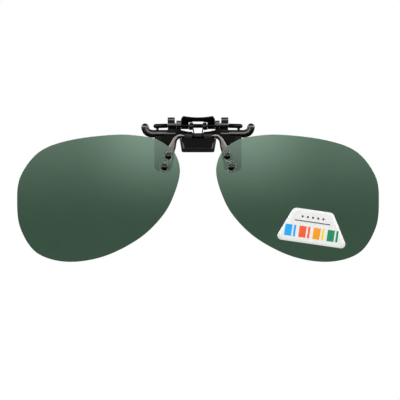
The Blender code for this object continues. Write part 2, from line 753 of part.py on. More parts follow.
def make_rest_pad(side_name, side, material):
    corners = [
        (PAD_INNER_X, PAD_TOP, 0), (PAD_INNER_X, WING_BOTTOM, PAD_CORNER),
        (PAD_FOOT_INNER_X, PAD_BOTTOM, PAD_CORNER), (PAD_OUTER_X, PAD_BOTTOM, PAD_CORNER),
        (PAD_OUTER_X, PAD_TOP, PAD_TOP_CORNER),
    ]
    outline = [(side * x, z) for x, z in rounded_outline(corners)]
    name = "rest_pad_" + side_name
    pad = plate(name, outline, PAD_THICKNESS, FACING_FRONT, (0, -PAD_THICKNESS / 2, 0))
    finish(pad, name, material)


def thumb_rivet_shape(name, side, clearance):
    """The countersunk rivet of the thumb pad, or its hole with a clearance."""
    flush = -SEAT_GAP + 2 * clearance
    head_foot = -SEAT_GAP - THUMB_RIVET_HEAD_DEPTH
    end = -SEAT_GAP - THUMB_RIVET_LENGTH - clearance
    shank = THUMB_RIVET_RADIUS + clearance
    head = THUMB_RIVET_HEAD_RADIUS + clearance
    profile = [(0, end), (shank, end), (shank, head_foot), (head, -SEAT_GAP)]
    if clearance:
        profile.append((head, flush))
    profile.append((0, profile[-1][1]))
    return turned(name, profile, side * THUMB_RIVET_X, THUMB_RIVET_Z)


def make_thumb_pad(material):
    back = -WEB_THICKNESS - SEAT_GAP
    pad = thumb_body(back)
    round_edges(pad, THUMB_CORNER, 3)
    combine(pad, "DIFFERENCE", thumb_cavity(back))
    for side_name, side in LEFT_AND_RIGHT:
        combine(pad, "UNION", bar_knuckle(side_name, side))
        combine(pad, "UNION", thumb_boss(side_name, side, back))
    bore = bar_along_x("bar_hole", BAR_RADIUS + RUNNING_GAP, -THUMB_HALF_WIDTH, THUMB_HALF_WIDTH,
                       BAR_Y, BAR_Z)
    combine(pad, "DIFFERENCE", bore)
    cam_recess = bar_along_x("cam_recess", CAM_REACH + 2 * RUNNING_GAP, -KNUCKLE_INNER_X - STEP_BACK,
                             KNUCKLE_INNER_X + STEP_BACK, BAR_Y, BAR_Z)
    combine(pad, "DIFFERENCE", cam_recess)
    for side_name, side in LEFT_AND_RIGHT:
        hole = thumb_rivet_shape("thumb_rivet_hole_" + side_name, side, SEAT_GAP)
        combine(pad, "DIFFERENCE", hole)
    finish(pad, "thumb_pad", material)


def thumb_body(back):
    """The wedge, from a wide top to a narrow foot that stands further out."""
    slope = (THUMB_FOOT_DEPTH - THUMB_TOP_DEPTH) / (THUMB_TOP - THUMB_BOTTOM - THUMB_FOOT_CHAMFER)
    foot_depth = THUMB_TOP_DEPTH + slope * (THUMB_TOP - THUMB_BOTTOM)
    mesh = bpy.data.meshes.new("thumb_pad")
    bm = bmesh.new()
    edges = []
    for half, depth, z in ((THUMB_HALF_WIDTH, THUMB_TOP_DEPTH, THUMB_TOP),
                           (THUMB_FOOT_HALF_WIDTH, foot_depth, THUMB_BOTTOM)):
        outline = rounded_outline([
            (-half, back, 0), (-half, -depth, THUMB_SIDE_ROUNDING),
            (half, -depth, THUMB_SIDE_ROUNDING), (half, back, 0),
        ])
        cap = bm.faces.new([bm.verts.new((x, y, z)) for x, y in outline])
        edges.extend(cap.edges)
    bmesh.ops.bridge_loops(bm, edges=edges)
    bmesh.ops.recalc_face_normals(bm, faces=bm.faces)
    bm.to_mesh(mesh)
    bm.free()
    body = add_shape("thumb_pad", mesh, Matrix.Identity(4))
    chamfer_foot = -THUMB_FOOT_DEPTH + THUMB_FOOT_CHAMFER
    beyond = THUMB_FOOT_CHAMFER
    side_view = [
        (chamfer_foot + beyond, THUMB_BOTTOM - beyond),
        (-THUMB_FOOT_DEPTH - beyond, THUMB_BOTTOM + THUMB_FOOT_CHAMFER + beyond),
        (-THUMB_FOOT_DEPTH - beyond, THUMB_BOTTOM - beyond),
    ]
    width = 4 * THUMB_HALF_WIDTH
    combine(body, "DIFFERENCE", plate("foot_chamfer", side_view, width, FACING_SIDE, (0, 0, 0)))
    return body


def thumb_cavity(back):
    """The hollow of the thumb pad, open to the rear."""
    top = THUMB_TOP - THUMB_WALL
    bottom = THUMB_BOTTOM + THUMB_WALL
    foot_front = THUMB_WALL - THUMB_FOOT_DEPTH
    side_view = [
        (-back, top), (-back, bottom), (foot_front + THUMB_FOOT_CHAMFER, bottom),
        (foot_front, bottom + THUMB_FOOT_CHAMFER), (THUMB_WALL - THUMB_TOP_DEPTH, top),
    ]
    width = 2 * (THUMB_FOOT_HALF_WIDTH - THUMB_WALL)
    return plate("thumb_cavity", side_view, width, FACING_SIDE, (0, 0, 0))


def bar_knuckle(side_name, side):
    """A barrel round the bar, on a foot that stands on the thumb pad."""
    middle_x = side * (KNUCKLE_INNER_X + KNUCKLE_OUTER_X) / 2
    width = KNUCKLE_OUTER_X - KNUCKLE_INNER_X
    front = BAR_Y - KNUCKLE_FOOT_DEPTH / 2
    rear = BAR_Y + KNUCKLE_FOOT_DEPTH / 2
    bottom = THUMB_TOP - THUMB_WALL / 2
    foot = [(front, BAR_Z), (front, bottom), (rear, bottom), (rear, BAR_Z)]
    shape = plate("knuckle_foot_" + side_name, foot, width, FACING_SIDE, (middle_x, 0, 0))
    barrel = bar_along_x("knuckle_" + side_name, KNUCKLE_RADIUS, side * KNUCKLE_INNER_X,
                         side * KNUCKLE_OUTER_X, BAR_Y, BAR_Z)
    combine(shape, "UNION", barrel)
    return shape


def thumb_boss(side_name, side, back):
    """The post in the hollow that takes a rivet."""
    front = -THUMB_TOP_DEPTH + THUMB_WALL / 2
    x = side * THUMB_RIVET_X
    post = [(x, front, THUMB_RIVET_Z), (x, back, THUMB_RIVET_Z)]
    return tube("thumb_boss_" + side_name, post, THUMB_BOSS_RADIUS)


def shortened(points, length):
    """The same line without its last stretch."""
    points = list(points)
    while (points[-1] - points[-2]).length < length:
        length -= (points[-1] - points[-2]).length
        points.pop()
    points[-1] = points[-1] + (points[-2] - points[-1]).normalized() * length
    return points


def lower_claw_route(side, start_y):
    """Middle line of a lower claw, from its socket to the end of its round part."""
    corner_x = LOWER_CLAW_X + LOWER_CLAW_TURN
    corner_y = LOWER_CLAW_Y - LOWER_CLAW_TURN
    points = [Vector((LOWER_CLAW_X, start_y, LOWER_CLAW_Z))]
    for step in range(ARC_STEPS + 1):
        turn = math.pi / 2 * step / ARC_STEPS
        points.append(Vector((
            corner_x - LOWER_CLAW_TURN * math.cos(turn),
            corner_y + LOWER_CLAW_TURN * math.sin(turn),
            LOWER_CLAW_Z,
        )))
    hook = []
    for inward, up in LOWER_CLAW_HOOK:
        hook.append((LOWER_CLAW_REACH - inward, LOWER_CLAW_Y, LOWER_CLAW_Z + up))
    hook.append((LOWER_CLAW_REACH, LOWER_CLAW_Y, LOWER_CLAW_TIP_Z - LOWER_SLEEVE_RADIUS))
    points.extend(smooth_points(hook, ARC_STEPS))
    return [Vector((side * point.x, point.y, point.z)) for point in points]


def make_lower_claw(side_name, side, wire_material, sleeve_material):
    wire_start = -WIRE_SOCKET_DEPTH + SEAT_GAP
    wire_route = shortened(lower_claw_route(side, wire_start), LOWER_SLEEVE_RADIUS)
    name = "lower_claw_wire_" + side_name
    finish(tube(name, wire_route, LOWER_WIRE_RADIUS), name, wire_material)

    route = lower_claw_route(side, SIDE_GAP)
    dome = []
    shares = [1.0] * len(route)
    for step in range(1, ARC_STEPS + 1):
        turn = DOME_END * step / ARC_STEPS
        dome.append(route[-1] + Vector((0, 0, LOWER_SLEEVE_RADIUS * math.sin(turn))))
        shares.append(math.cos(turn))
    name = "lower_claw_sleeve_" + side_name
    sleeve = tube(name, route + dome, LOWER_SLEEVE_RADIUS, thinning=shares)
    bore_route = lower_claw_route(side, -SIDE_GAP)
    bore_route = shortened(bore_route, LOWER_SLEEVE_RADIUS - RUNNING_GAP)
    bore = tube("sleeve_bore_" + side_name, bore_route, LOWER_WIRE_RADIUS + RUNNING_GAP)
    combine(sleeve, "DIFFERENCE", bore)
    finish(sleeve, name, sleeve_material)


def spring_half():
    """Right half of the jaw spring, from the middle of its loop to its tail."""
    loop_y = BAR_Y + CAM_REACH + RUNNING_GAP + SPRING_WIRE_RADIUS
    loop_z = BAR_Z + SPRING_LOOP_RISE
    bend = 2 * SPRING_WIRE_RADIUS
    to_axle = Vector((AXLE_Y - loop_y, AXLE_Z - loop_z))
    heading = math.atan2(to_axle.y, to_axle.x) + math.asin(SPRING_COIL_RADIUS / to_axle.length)
    leg_length = math.sqrt(to_axle.length ** 2 - SPRING_COIL_RADIUS ** 2)
    first = math.pi / 2 - heading
    last = SPRING_TAIL_ANGLE + 2 * math.pi * SPRING_WHOLE_TURNS
    points = [Vector((0, loop_y, loop_z)), Vector((SPRING_LOOP_HALF_WIDTH - bend, loop_y, loop_z))]
    spread = (SPRING_COIL_X - SPRING_LOOP_HALF_WIDTH) / leg_length
    rise = Vector((spread, math.cos(heading), math.sin(heading)))
    corner = Vector((SPRING_LOOP_HALF_WIDTH, loop_y, loop_z))
    inward = bend * (1 - math.sqrt(0.5))
    points.append(corner + rise * inward - Vector((inward, 0, 0)))
    points.append(corner + rise * bend)
    steps = round((last - first) / (2 * math.pi) * SPRING_POINTS_PER_TURN)
    for step in range(steps + 1):
        turn = first + (last - first) * step / steps
        x = SPRING_COIL_X + SPRING_PITCH * (turn - first) / (2 * math.pi)
        y = AXLE_Y - SPRING_COIL_RADIUS * math.cos(turn)
        z = AXLE_Z + SPRING_COIL_RADIUS * math.sin(turn)
        points.append(Vector((x, y, z)))
    leave = Vector((0, math.sin(last), math.cos(last)))
    points.append(points[-1] + leave * SPRING_TAIL_LENGTH)
    return points


def print_least_gap(points):
    """The least gap between stretches of the spring that don't follow on."""
    apart = SPRING_POINTS_PER_TURN // 2
    gaps = []
    for index, point in enumerate(points):
        for other in points[index + apart:]:
            gaps.append((other - point).length - 2 * SPRING_WIRE_RADIUS)
    print("least gap of the jaw spring to itself:", round(min(gaps) / MM, 3), "mm")


def make_jaw_spring(material):
    right = spring_half()
    left = [Vector((-point.x, point.y, point.z)) for point in right[:0:-1]]
    points = left + right
    print_least_gap(points)
    finish(tube("jaw_spring", points, SPRING_WIRE_RADIUS, sides=8), "jaw_spring", material)


def make_clip_base(materials):
    make_base_bracket(materials["black_metal"])
    make_thumb_pad(materials["black_plastic"])
    make_jaw_spring(materials["spring_steel"])
    for side_name, side in LEFT_AND_RIGHT:
        name = "thumb_rivet_" + side_name
        finish(thumb_rivet_shape(name, side, 0), name, materials["steel"])
        make_rest_pad(side_name, side, materials["rubber"])
        make_lower_claw(side_name, side, materials["steel"], materials["rubber"])


# Upper jaw

def make_finger_plate(material, axis):
    half = FINGER_THICKNESS / 2
    root = Vector((AXLE_Y + half, AXLE_Z + FINGER_ROOT_RISE))
    bend = Vector((FINGER_BEND_Y, FINGER_BEND_Z))
    front = Vector((FINGER_FRONT_Y, FINGER_FRONT_Z))
    profile = rounded_outline([
        (root.x, root.y + half, 0), (bend.x, bend.y + half, FINGER_FOLD),
        (front.x, front.y + half, FINGER_EDGE), (front.x, front.y - half, FINGER_EDGE),
        (bend.x, bend.y - half, FINGER_FOLD), (root.x, root.y - half, 0),
    ])
    lever = plate("finger_plate", profile, 2 * FINGER_HALF_WIDTH, FACING_SIDE, (0, 0, 0))
    combine(lever, "INTERSECT", finger_plan())
    combine(lever, "INTERSECT", finger_front())
    combine(lever, "DIFFERENCE", finger_dish())
    round_edges(lever)
    for side_name, side in LEFT_AND_RIGHT:
        barrel = bar_along_x("finger_knuckle_" + side_name, FINGER_KNUCKLE_RADIUS,
                             side * FINGER_KNUCKLE_INNER_X, side * FINGER_HALF_WIDTH, AXLE_Y, AXLE_Z)
        combine(lever, "UNION", barrel)
    notch_top = AXLE_Z + COIL_OUTSIDE + RUNNING_GAP
    behind = AXLE_Y + FINGER_KNUCKLE_RADIUS + SIDE_GAP
    ahead = AXLE_Y - FINGER_KNUCKLE_RADIUS - SIDE_GAP
    coil_notch = block("coil_notch", (-FINGER_KNUCKLE_INNER_X, ahead, AXLE_Z - SPRING_COIL_RADIUS),
                       (FINGER_KNUCKLE_INNER_X, behind, notch_top))
    combine(lever, "DIFFERENCE", coil_notch)
    sight_slot = block("sight_slot", (-SIGHT_SLOT_HALF_WIDTH, ahead, AXLE_Z),
                       (SIGHT_SLOT_HALF_WIDTH, behind, SIGHT_SLOT_TOP))
    combine(lever, "DIFFERENCE", sight_slot)
    bore = bar_along_x("finger_bore", AXLE_RADIUS + SEAT_GAP, -EAR_OUTER_X, EAR_OUTER_X,
                       AXLE_Y, AXLE_Z)
    combine(lever, "DIFFERENCE", bore)
    finish(lever, "finger_plate", material, axis)


def finger_plan():
    """The finger plate's outline from above, with rounded front corners."""
    width = FINGER_HALF_WIDTH
    rear = AXLE_Y + FINGER_KNUCKLE_RADIUS
    corners = [
        (-width, rear, 0), (-width, FINGER_FRONT_Y, FINGER_CORNER),
        (width, FINGER_FRONT_Y, FINGER_CORNER), (width, rear, 0),
    ]
    height = 4 * FINGER_THICKNESS
    middle = (0, 0, FINGER_BEND_Z)
    return plate("finger_plan", rounded_outline(corners), 2 * height, Matrix.Identity(4), middle)


def finger_front():
    """The finger plate's outline from the front, with rounded upper corners."""
    width = FINGER_HALF_WIDTH + STEP_BACK
    top = FINGER_FRONT_Z + FINGER_THICKNESS / 2 + STEP_BACK
    corners = [
        (-width, AXLE_Z, 0), (width, AXLE_Z, 0),
        (width, top, FINGER_CREST_CORNER), (-width, top, FINGER_CREST_CORNER),
    ]
    reach = -4 * FINGER_FRONT_Y
    return plate("finger_front", rounded_outline(corners), reach, FACING_FRONT, (0, 0, 0))


def finger_dish():
    """A wide cylinder along Y that dishes the top of the finger plate."""
    half = FINGER_HALF_WIDTH
    radius = (half ** 2 + FINGER_DISH ** 2) / (2 * FINGER_DISH)
    top = FINGER_FRONT_Z + FINGER_THICKNESS / 2
    slope = math.atan2(FINGER_FRONT_Z - FINGER_BEND_Z, FINGER_BEND_Y - FINGER_FRONT_Y)
    mesh = bpy.data.meshes.new("finger_dish")
    bm = bmesh.new()
    bmesh.ops.create_cone(bm, cap_ends=True, segments=6 * CIRCLE_SIDES, radius1=radius,
                          radius2=radius, depth=4 * half)
    bm.to_mesh(mesh)
    bm.free()
    front = Matrix.Translation((0, FINGER_FRONT_Y, top - FINGER_DISH))
    tilt = Matrix.Rotation(math.radians(90) - slope, 4, "X")
    return add_shape("finger_dish", mesh, front @ tilt @ Matrix.Translation((0, radius, 0)))


def make_upper_claw(side_name, side, metal, rubber, axis):
    front_leg = CLAW_HUB_RADIUS - 2 * STEP_BACK
    foot_z = AXLE_Z - CLAW_HUB_RADIUS / 4
    under_z = CLAW_TOP - CLAW_ARM_THICKNESS
    rear_leg_y = CLAW_REAR_Y - CLAW_LEG_THICKNESS
    arch = rounded_outline([
        (AXLE_Y - front_leg, foot_z, 0), (AXLE_Y + front_leg, foot_z, 0),
        (AXLE_Y + front_leg, under_z, CLAW_INNER_BEND), (rear_leg_y, under_z, CLAW_INNER_BEND),
        (rear_leg_y, CLAW_LEG_BOTTOM, CLAW_INNER_BEND), (CLAW_REAR_Y, CLAW_LEG_BOTTOM, CLAW_INNER_BEND),
        (CLAW_REAR_Y, CLAW_TOP, CLAW_OUTER_BEND), (AXLE_Y - front_leg, CLAW_TOP, CLAW_FRONT_BEND),
    ])
    name = "upper_claw_" + side_name
    middle_x = side * (CLAW_ARM_INNER_X + CLAW_ARM_OUTER_X) / 2
    claw = plate(name, arch, CLAW_ARM_WIDTH, FACING_SIDE, (middle_x, 0, 0))
    round_edges(claw)
    hub = bar_along_x("claw_hub_" + side_name, CLAW_HUB_RADIUS, side * HUB_INNER_X,
                      side * (CLAW_ARM_OUTER_X - STEP_BACK), AXLE_Y, AXLE_Z)
    combine(claw, "UNION", hub)
    rod_end = UPPER_SLEEVE_END - 2 * UPPER_SLEEVE_RADIUS
    rod = upper_rod_route(side, CLAW_ARM_OUTER_X - CLAW_ARM_WIDTH / 2, rod_end)
    combine(claw, "UNION", tube("claw_rod_" + side_name, rod, CLAW_ROD_RADIUS))
    bore = bar_along_x("claw_bore_" + side_name, AXLE_RADIUS + SEAT_GAP, side * EAR_OUTER_X,
                       side * (CLAW_ARM_OUTER_X + CLAW_ARM_WIDTH), AXLE_Y, AXLE_Z)
    combine(claw, "DIFFERENCE", bore)
    finish(claw, name, metal, axis)
    make_upper_sleeve(side_name, side, rubber, axis)


def upper_rod_route(side, from_x, to_x):
    """Middle line of an upper claw's rod, which drops a little outward."""
    span = UPPER_SLEEVE_END - CLAW_ARM_OUTER_X
    route = []
    for x in (from_x, to_x):
        drop = CLAW_ROD_DROP * (x - CLAW_ARM_OUTER_X) / span
        route.append(Vector((side * x, CLAW_ROD_Y, CLAW_ROD_Z - drop)))
    return route


def make_upper_sleeve(side_name, side, rubber, axis):
    start = CLAW_ARM_OUTER_X + RUNNING_GAP
    end = UPPER_SLEEVE_END - UPPER_SLEEVE_RADIUS
    route = upper_rod_route(side, start, end)
    shares = [1.0, 1.0]
    for step in range(1, ARC_STEPS + 1):
        turn = DOME_END * step / ARC_STEPS
        route.append(route[1] + Vector((side * UPPER_SLEEVE_RADIUS * math.sin(turn), 0, 0)))
        shares.append(math.cos(turn))
    name = "upper_claw_sleeve_" + side_name
    sleeve = tube(name, route, UPPER_SLEEVE_RADIUS, thinning=shares)
    low = (side * TOOTH_X - TOOTH_WIDTH / 2, CLAW_ROD_Y - TOOTH_WIDTH / 2, TOOTH_BOTTOM)
    high = (side * TOOTH_X + TOOTH_WIDTH / 2, CLAW_ROD_Y + TOOTH_WIDTH / 2, CLAW_ROD_Z)
    combine(sleeve, "UNION", block("tooth_" + side_name, low, high))
    bore_end = UPPER_SLEEVE_END - 2 * UPPER_SLEEVE_RADIUS + SIDE_GAP
    bore_route = upper_rod_route(side, CLAW_ARM_OUTER_X - RUNNING_GAP, bore_end)
    bore = tube("upper_sleeve_bore_" + side_name, bore_route, CLAW_ROD_RADIUS + SEAT_GAP)
    combine(sleeve, "DIFFERENCE", bore)
    finish(sleeve, name, rubber, axis)


def make_axle_bush(material, axis):
    """The tube on the axle that keeps the two coils of the spring apart."""
    end = FINGER_KNUCKLE_INNER_X - RUNNING_GAP
    bush = bar_along_x("axle_bush", BUSH_RADIUS, -end, end, AXLE_Y, AXLE_Z)
    bore = bar_along_x("bush_bore", AXLE_RADIUS + SEAT_GAP, -2 * end, 2 * end, AXLE_Y, AXLE_Z)
    combine(bush, "DIFFERENCE", bore)
    finish(bush, "axle_bush", material, axis)


def make_upper_jaw(materials):
    axis = joint_axis("jaw_axis", AXLE_Y, AXLE_Z)
    make_finger_plate(materials["black_plastic"], axis)
    end = CLAW_ARM_OUTER_X - SIDE_GAP
    axle = bar_along_x("jaw_axle", AXLE_RADIUS, -end, end, AXLE_Y, AXLE_Z)
    round_edges(axle, AXLE_RADIUS / 3)
    finish(axle, "jaw_axle", materials["steel"], axis)
    make_axle_bush(materials["black_plastic"], axis)
    for side_name, side in LEFT_AND_RIGHT:
        make_upper_claw(side_name, side, materials["black_metal"], materials["rubber"], axis)


def make_materials():
    return {
        "lens": make_material("lens", (0.045, 0.085, 0.055), 0.08, alpha=0.85),
        "black_metal": make_material("black_metal", (0.02, 0.02, 0.022), 0.35, metallic=0.9),
        "black_plastic": make_material("black_plastic", (0.025, 0.026, 0.028), 0.3),
        "gunmetal": make_material("gunmetal", (0.33, 0.30, 0.30), 0.3, metallic=1.0),
        "steel": make_material("steel", (0.5, 0.5, 0.52), 0.25, metallic=1.0),
        "spring_steel": make_material("spring_steel", (0.12, 0.14, 0.2), 0.3, metallic=1.0),
        "rubber": make_material("rubber", (0.03, 0.03, 0.03), 0.6),
        "clear_plastic": make_material("clear_plastic", (0.8, 0.82, 0.82), 0.1, alpha=0.35),
        "label": make_material("label", (0.9, 0.9, 0.88), 0.5),
    }


def main():
    materials = make_materials()
    make_clip_base(materials)
    make_upper_jaw(materials)
    make_lens_carrier(materials)


main()
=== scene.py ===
import math

import bmesh
import bpy
from mathutils import Matrix, Vector


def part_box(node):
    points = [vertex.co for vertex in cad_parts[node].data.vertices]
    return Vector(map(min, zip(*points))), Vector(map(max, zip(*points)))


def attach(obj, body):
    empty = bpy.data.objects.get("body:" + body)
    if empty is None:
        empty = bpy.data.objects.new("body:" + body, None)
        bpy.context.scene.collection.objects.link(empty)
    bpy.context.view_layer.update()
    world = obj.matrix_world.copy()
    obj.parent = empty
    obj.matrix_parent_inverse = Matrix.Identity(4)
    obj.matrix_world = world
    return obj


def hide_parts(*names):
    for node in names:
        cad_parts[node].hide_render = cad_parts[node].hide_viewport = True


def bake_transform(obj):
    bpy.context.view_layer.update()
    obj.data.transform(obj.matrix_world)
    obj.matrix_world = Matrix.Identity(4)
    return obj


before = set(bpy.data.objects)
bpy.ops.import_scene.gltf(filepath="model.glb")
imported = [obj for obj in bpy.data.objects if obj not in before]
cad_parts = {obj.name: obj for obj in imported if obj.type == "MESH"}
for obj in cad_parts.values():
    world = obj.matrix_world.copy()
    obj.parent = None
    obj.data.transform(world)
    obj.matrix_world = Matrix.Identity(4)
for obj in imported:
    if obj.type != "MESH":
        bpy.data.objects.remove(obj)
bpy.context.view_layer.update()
mm = 0.001
sides = {"left": -1, "right": 1}
print("frame loaded")


# Node trees: a socket that takes part in Python sums

class Wire:
    def __init__(self, tree, socket=None):
        self.tree = tree
        self.socket = socket

    def node(self, kind, settings=None, sockets=None, output=0):
        made = self.tree.nodes.new(kind)
        for name, value in (settings or {}).items():
            setattr(made, name, value)
        for name, value in (sockets or {}).items():
            if isinstance(value, Wire):
                self.tree.links.new(value.socket, made.inputs[name])
            else:
                made.inputs[name].default_value = value
        return Wire(self.tree, made.outputs[output]) if made.outputs else None

    def other(self, output):  # another output of the same node
        return Wire(self.tree, self.socket.node.outputs[output])

    def maths(self, operation, first, second=0.0):
        return self.node("ShaderNodeMath", {"operation": operation}, {0: first, 1: second})

    def __add__(self, other):
        return self.maths("ADD", self, other)

    __radd__ = __add__

    def __sub__(self, other):
        return self.maths("SUBTRACT", self, other)

    def __rsub__(self, other):
        return self.maths("SUBTRACT", other, self)

    def __mul__(self, other):
        return self.maths("MULTIPLY", self, other)

    __rmul__ = __mul__

    def __pow__(self, other):
        return self.maths("POWER", self, other)

    def __gt__(self, other):
        return self.maths("GREATER_THAN", self, other)

    def __lt__(self, other):
        return self.maths("LESS_THAN", self, other)

    def __abs__(self):
        return self.maths("ABSOLUTE", self)


def mixColour(share, first, second):  # each a wire or plain (red, green, blue)
    first, second = (item if isinstance(item, Wire) else (*item, 1.0) for item in (first, second))
    return share.node("ShaderNodeMix", {"data_type": "RGBA"}, {0: share, 6: first, 7: second}, output=2)


def easedStep(value, low, high):  # 0 below low, 1 above high, smooth between
    ends = {"Value": value, "From Min": low, "From Max": high}
    return value.node("ShaderNodeMapRange", {"interpolation_type": "SMOOTHSTEP"}, ends)


def alongAxis(vector, axis):
    return vector.node("ShaderNodeSeparateXYZ", {}, {0: vector}, output=axis)


def facing(paint, axis):  # how far the surface looks that way
    return alongAxis(paint.node("ShaderNodeTexCoord", output="Normal"), axis)


def startPaint(name):
    material = bpy.data.materials.new(name)
    material.use_nodes = True
    material.node_tree.nodes.clear()
    return material, Wire(material.node_tree)


def finishPaint(paint, finish, baseColour, dulling, bump=None, varying=None):
    # dulling is what the roughness follows and bump what the relief follows
    sockets = {"Base Color": baseColour, "Roughness": finish["roughness"] + dulling * finish["spread"]}
    if bump:
        relief = {"Height": bump, "Strength": finish["relief"], "Distance": finish["depth"]}
        sockets["Normal"] = paint.node("ShaderNodeBump", {}, relief, output="Normal")
    sockets = {**sockets, **finish["plain"], **(varying or {})}
    shader = paint.node("ShaderNodeBsdfPrincipled", {}, sockets)
    paint.node("ShaderNodeOutputMaterial", {}, {"Surface": shader})


def placeInMm(paint):  # object coordinates counted in millimetres
    spot = paint.node("ShaderNodeTexCoord", output="Object")
    return paint.node("ShaderNodeVectorMath", {"operation": "SCALE"}, {0: spot, "Scale": 1 / mm})


def grain(paint, place, size, detail=3.0):
    return paint.node("ShaderNodeTexNoise", {}, {"Vector": place, "Scale": 1 / size, "Detail": detail})


def uneven(value, noise, amount):  # moved up or down by at most half the amount
    return value + (noise - 0.5) * amount


softEdges = {
    "front": (0.2, 0.6),  # how far a face has to look towards -Y
    "stripe": 0.6,  # share of a stripe's half width over which it fades
}


def facingFront(paint):
    return easedStep(facing(paint, "Y") * -1, *softEdges["front"])


def paintedStripe(value, middle, half):  # 1 at the middle of a soft stripe, used for painted highlights and painted shade
    soft = softEdges["stripe"]
    return 1 - easedStep(abs(value - middle), half * (1 - soft), half * (1 + soft))


# Finishes. A "...Size" is a grain's size in mm. "spread" is how much the roughness grows with
# the grain, "relief" and "depth" are the bump's strength and depth, and "plain" holds the sockets
# that are the same all over.

lensFinish = {
    "tint": (0.046, 0.092, 0.060),
    "deeperTint": (0.041, 0.084, 0.054),
    "roughness": 0.012,
    "spread": 0.02,
    "smearSize": 14.0,
    "smearBand": (0.45, 0.75),
    "plain": {"IOR": 1.9, "Specular Tint": (0.72, 1.0, 0.81, 1.0), "Transmission Weight": 1.0},
}


def makeLensPaint():
    finish = lensFinish
    material, paint = startPaint("tinted_lens")
    smear = grain(paint, placeInMm(paint), finish["smearSize"], detail=2.0)
    tint = mixColour(smear, finish["tint"], finish["deeperTint"])
    finishPaint(paint, finish, tint, easedStep(smear, *finish["smearBand"]))
    return material


blackCoatFinish = {
    "base": (0.0030, 0.0032, 0.0026),
    "dusty": (0.0066, 0.0068, 0.0058),
    "dustBand": (0.4, 0.75),
    # painted highlight: a pale stripe along the front of the lower claws' sockets
    "paintedHighlight": (0.290, 0.287, 0.277),
    "socketBand": (2.96, 0.19),  # mm up, and half as high
    "socketFrom": (7.9, 8.5),  # mm out from the middle
    "socketTo": 11.3,
    "roughness": 0.38,
    "spread": 0.12,
    "patchSize": 2.2,
    "peelSize": 0.25,
    "relief": 0.12,
    "depth": 0.01 * mm,
    "cheek": (0.070, 0.068, 0.063),  # bare metal where the axle's cheeks stand free
    "cheekFrom": 6.15,  # mm out from the middle
    "cheekTo": 7.92,
    "cheekFoot": (5.5, 6.0),  # mm up
    "cheekWander": 0.8,  # mm
    "plain": {"Specular IOR Level": 0.05},
}


def makeBlackCoat():
    finish = blackCoatFinish
    material, paint = startPaint("black_coat")
    place = placeInMm(paint)
    patch = grain(paint, place, finish["patchSize"])
    peel = grain(paint, place, finish["peelSize"], detail=1.0)
    coat = mixColour(easedStep(patch, *finish["dustBand"]), finish["base"], finish["dusty"])
    across = alongAxis(place, "X")
    up = across.other("Z")
    out = abs(across)
    cheek = (out > finish["cheekFrom"]) * (out < finish["cheekTo"])
    cheek = cheek * easedStep(uneven(up, patch, finish["cheekWander"]), *finish["cheekFoot"])
    # painted highlight along the sockets' front, in the base colour
    socket = paintedStripe(up, *finish["socketBand"]) * facingFront(paint)
    socket = socket * easedStep(out, *finish["socketFrom"]) * (out < finish["socketTo"])
    coat = mixColour(socket, coat, finish["paintedHighlight"])
    coat = mixColour(cheek, coat, finish["cheek"])
    finishPaint(paint, finish, coat, patch, peel, {"Metallic": cheek})
    return material


mouldedFinish = {
    "base": (0.0030, 0.0029, 0.0029),
    "paler": (0.0064, 0.0062, 0.0062),
    "foot": (0.0200, 0.0195, 0.0195),  # painted highlight: the thumb pad's foot painted paler
    "footHighlightBand": (-2.6, -2.3),  # mm up
    # painted shade: a dark line across the thumb pad's face
    "shadeLine": (0.0010, 0.0010, 0.0010),
    "shadeLineBand": (-1.84, 0.17),  # mm up, and half as high
    "knuckleHighlight": (0.046, 0.045, 0.044),  # painted highlight on the tops of the thumb pad's knuckles
    "knuckleHighlightBand": (1.95, 0.85),
    "paintedHighlight": (0.210, 0.207, 0.204),  # painted highlight along the thumb pad's side edges
    "highlightLine": (5.62, 0.22),  # mm out level with the origin, and mm further in for each mm below it
    "highlightHalf": 0.17,  # mm
    "paintedStripe": (-1.55, 0.95),
    "roughness": 0.24,
    "spread": 0.1,
    "sparkSize": 0.12,  # the fine texture of the mould
    "flowSize": 3.0,
    "relief": 0.15,
    "depth": 0.01 * mm,
    "plain": {"Specular IOR Level": 0.05},
}


def makeMouldedBlack():
    finish = mouldedFinish
    material, paint = startPaint("moulded_black")
    place = placeInMm(paint)
    flow = grain(paint, place, finish["flowSize"], detail=2.0)
    spark = grain(paint, place, finish["sparkSize"], detail=1.0)
    across = alongAxis(place, "X")
    up = across.other("Z")
    front = facingFront(paint)
    # painted highlight along the thumb pad's side edges
    start, slope = finish["highlightLine"]
    paintedHighlight = paintedStripe(abs(across) - (start + up * slope), 0.0, finish["highlightHalf"]) * front
    plastic = mixColour(flow, finish["base"], finish["paler"])
    # painted highlight: the foot of the thumb pad painted paler
    plastic = mixColour(1 - easedStep(up, *finish["footHighlightBand"]), plastic, finish["foot"])
    # painted shade line across the front
    plastic = mixColour(paintedStripe(up, *finish["shadeLineBand"]) * front, plastic, finish["shadeLine"])
    plastic = mixColour(paintedHighlight * paintedStripe(up, *finish["paintedStripe"]), plastic, finish["paintedHighlight"])
    # painted highlight on the knuckle tops
    plastic = mixColour(paintedStripe(up, *finish["knuckleHighlightBand"]) * front, plastic, finish["knuckleHighlight"])
    finishPaint(paint, finish, plastic, spark, spark)
    return material


clawFinish = {
    "base": (0.0040, 0.0039, 0.0037),
    "dusty": (0.0090, 0.0088, 0.0084),
    "dustBand": (0.45, 0.8),
    # painted highlight: pale bands across the post and the hub, uneven with the dust
    "paintedHighlight": (0.44, 0.437, 0.422),
    "highlightShare": (0.8, 0.4),  # at least, and more with the dust
    "postBand": (8.02, 0.22),  # mm up, and half as high
    "postShare": 0.60,
    "hubBand": (6.35, 0.14),
    "roughness": 0.16,
    "spread": 0.05,
    "dustSize": 1.4,
    "peelSize": 0.3,
    "relief": 0.08,
    "depth": 0.01 * mm,
    "plain": {"Specular IOR Level": 0.06},
}


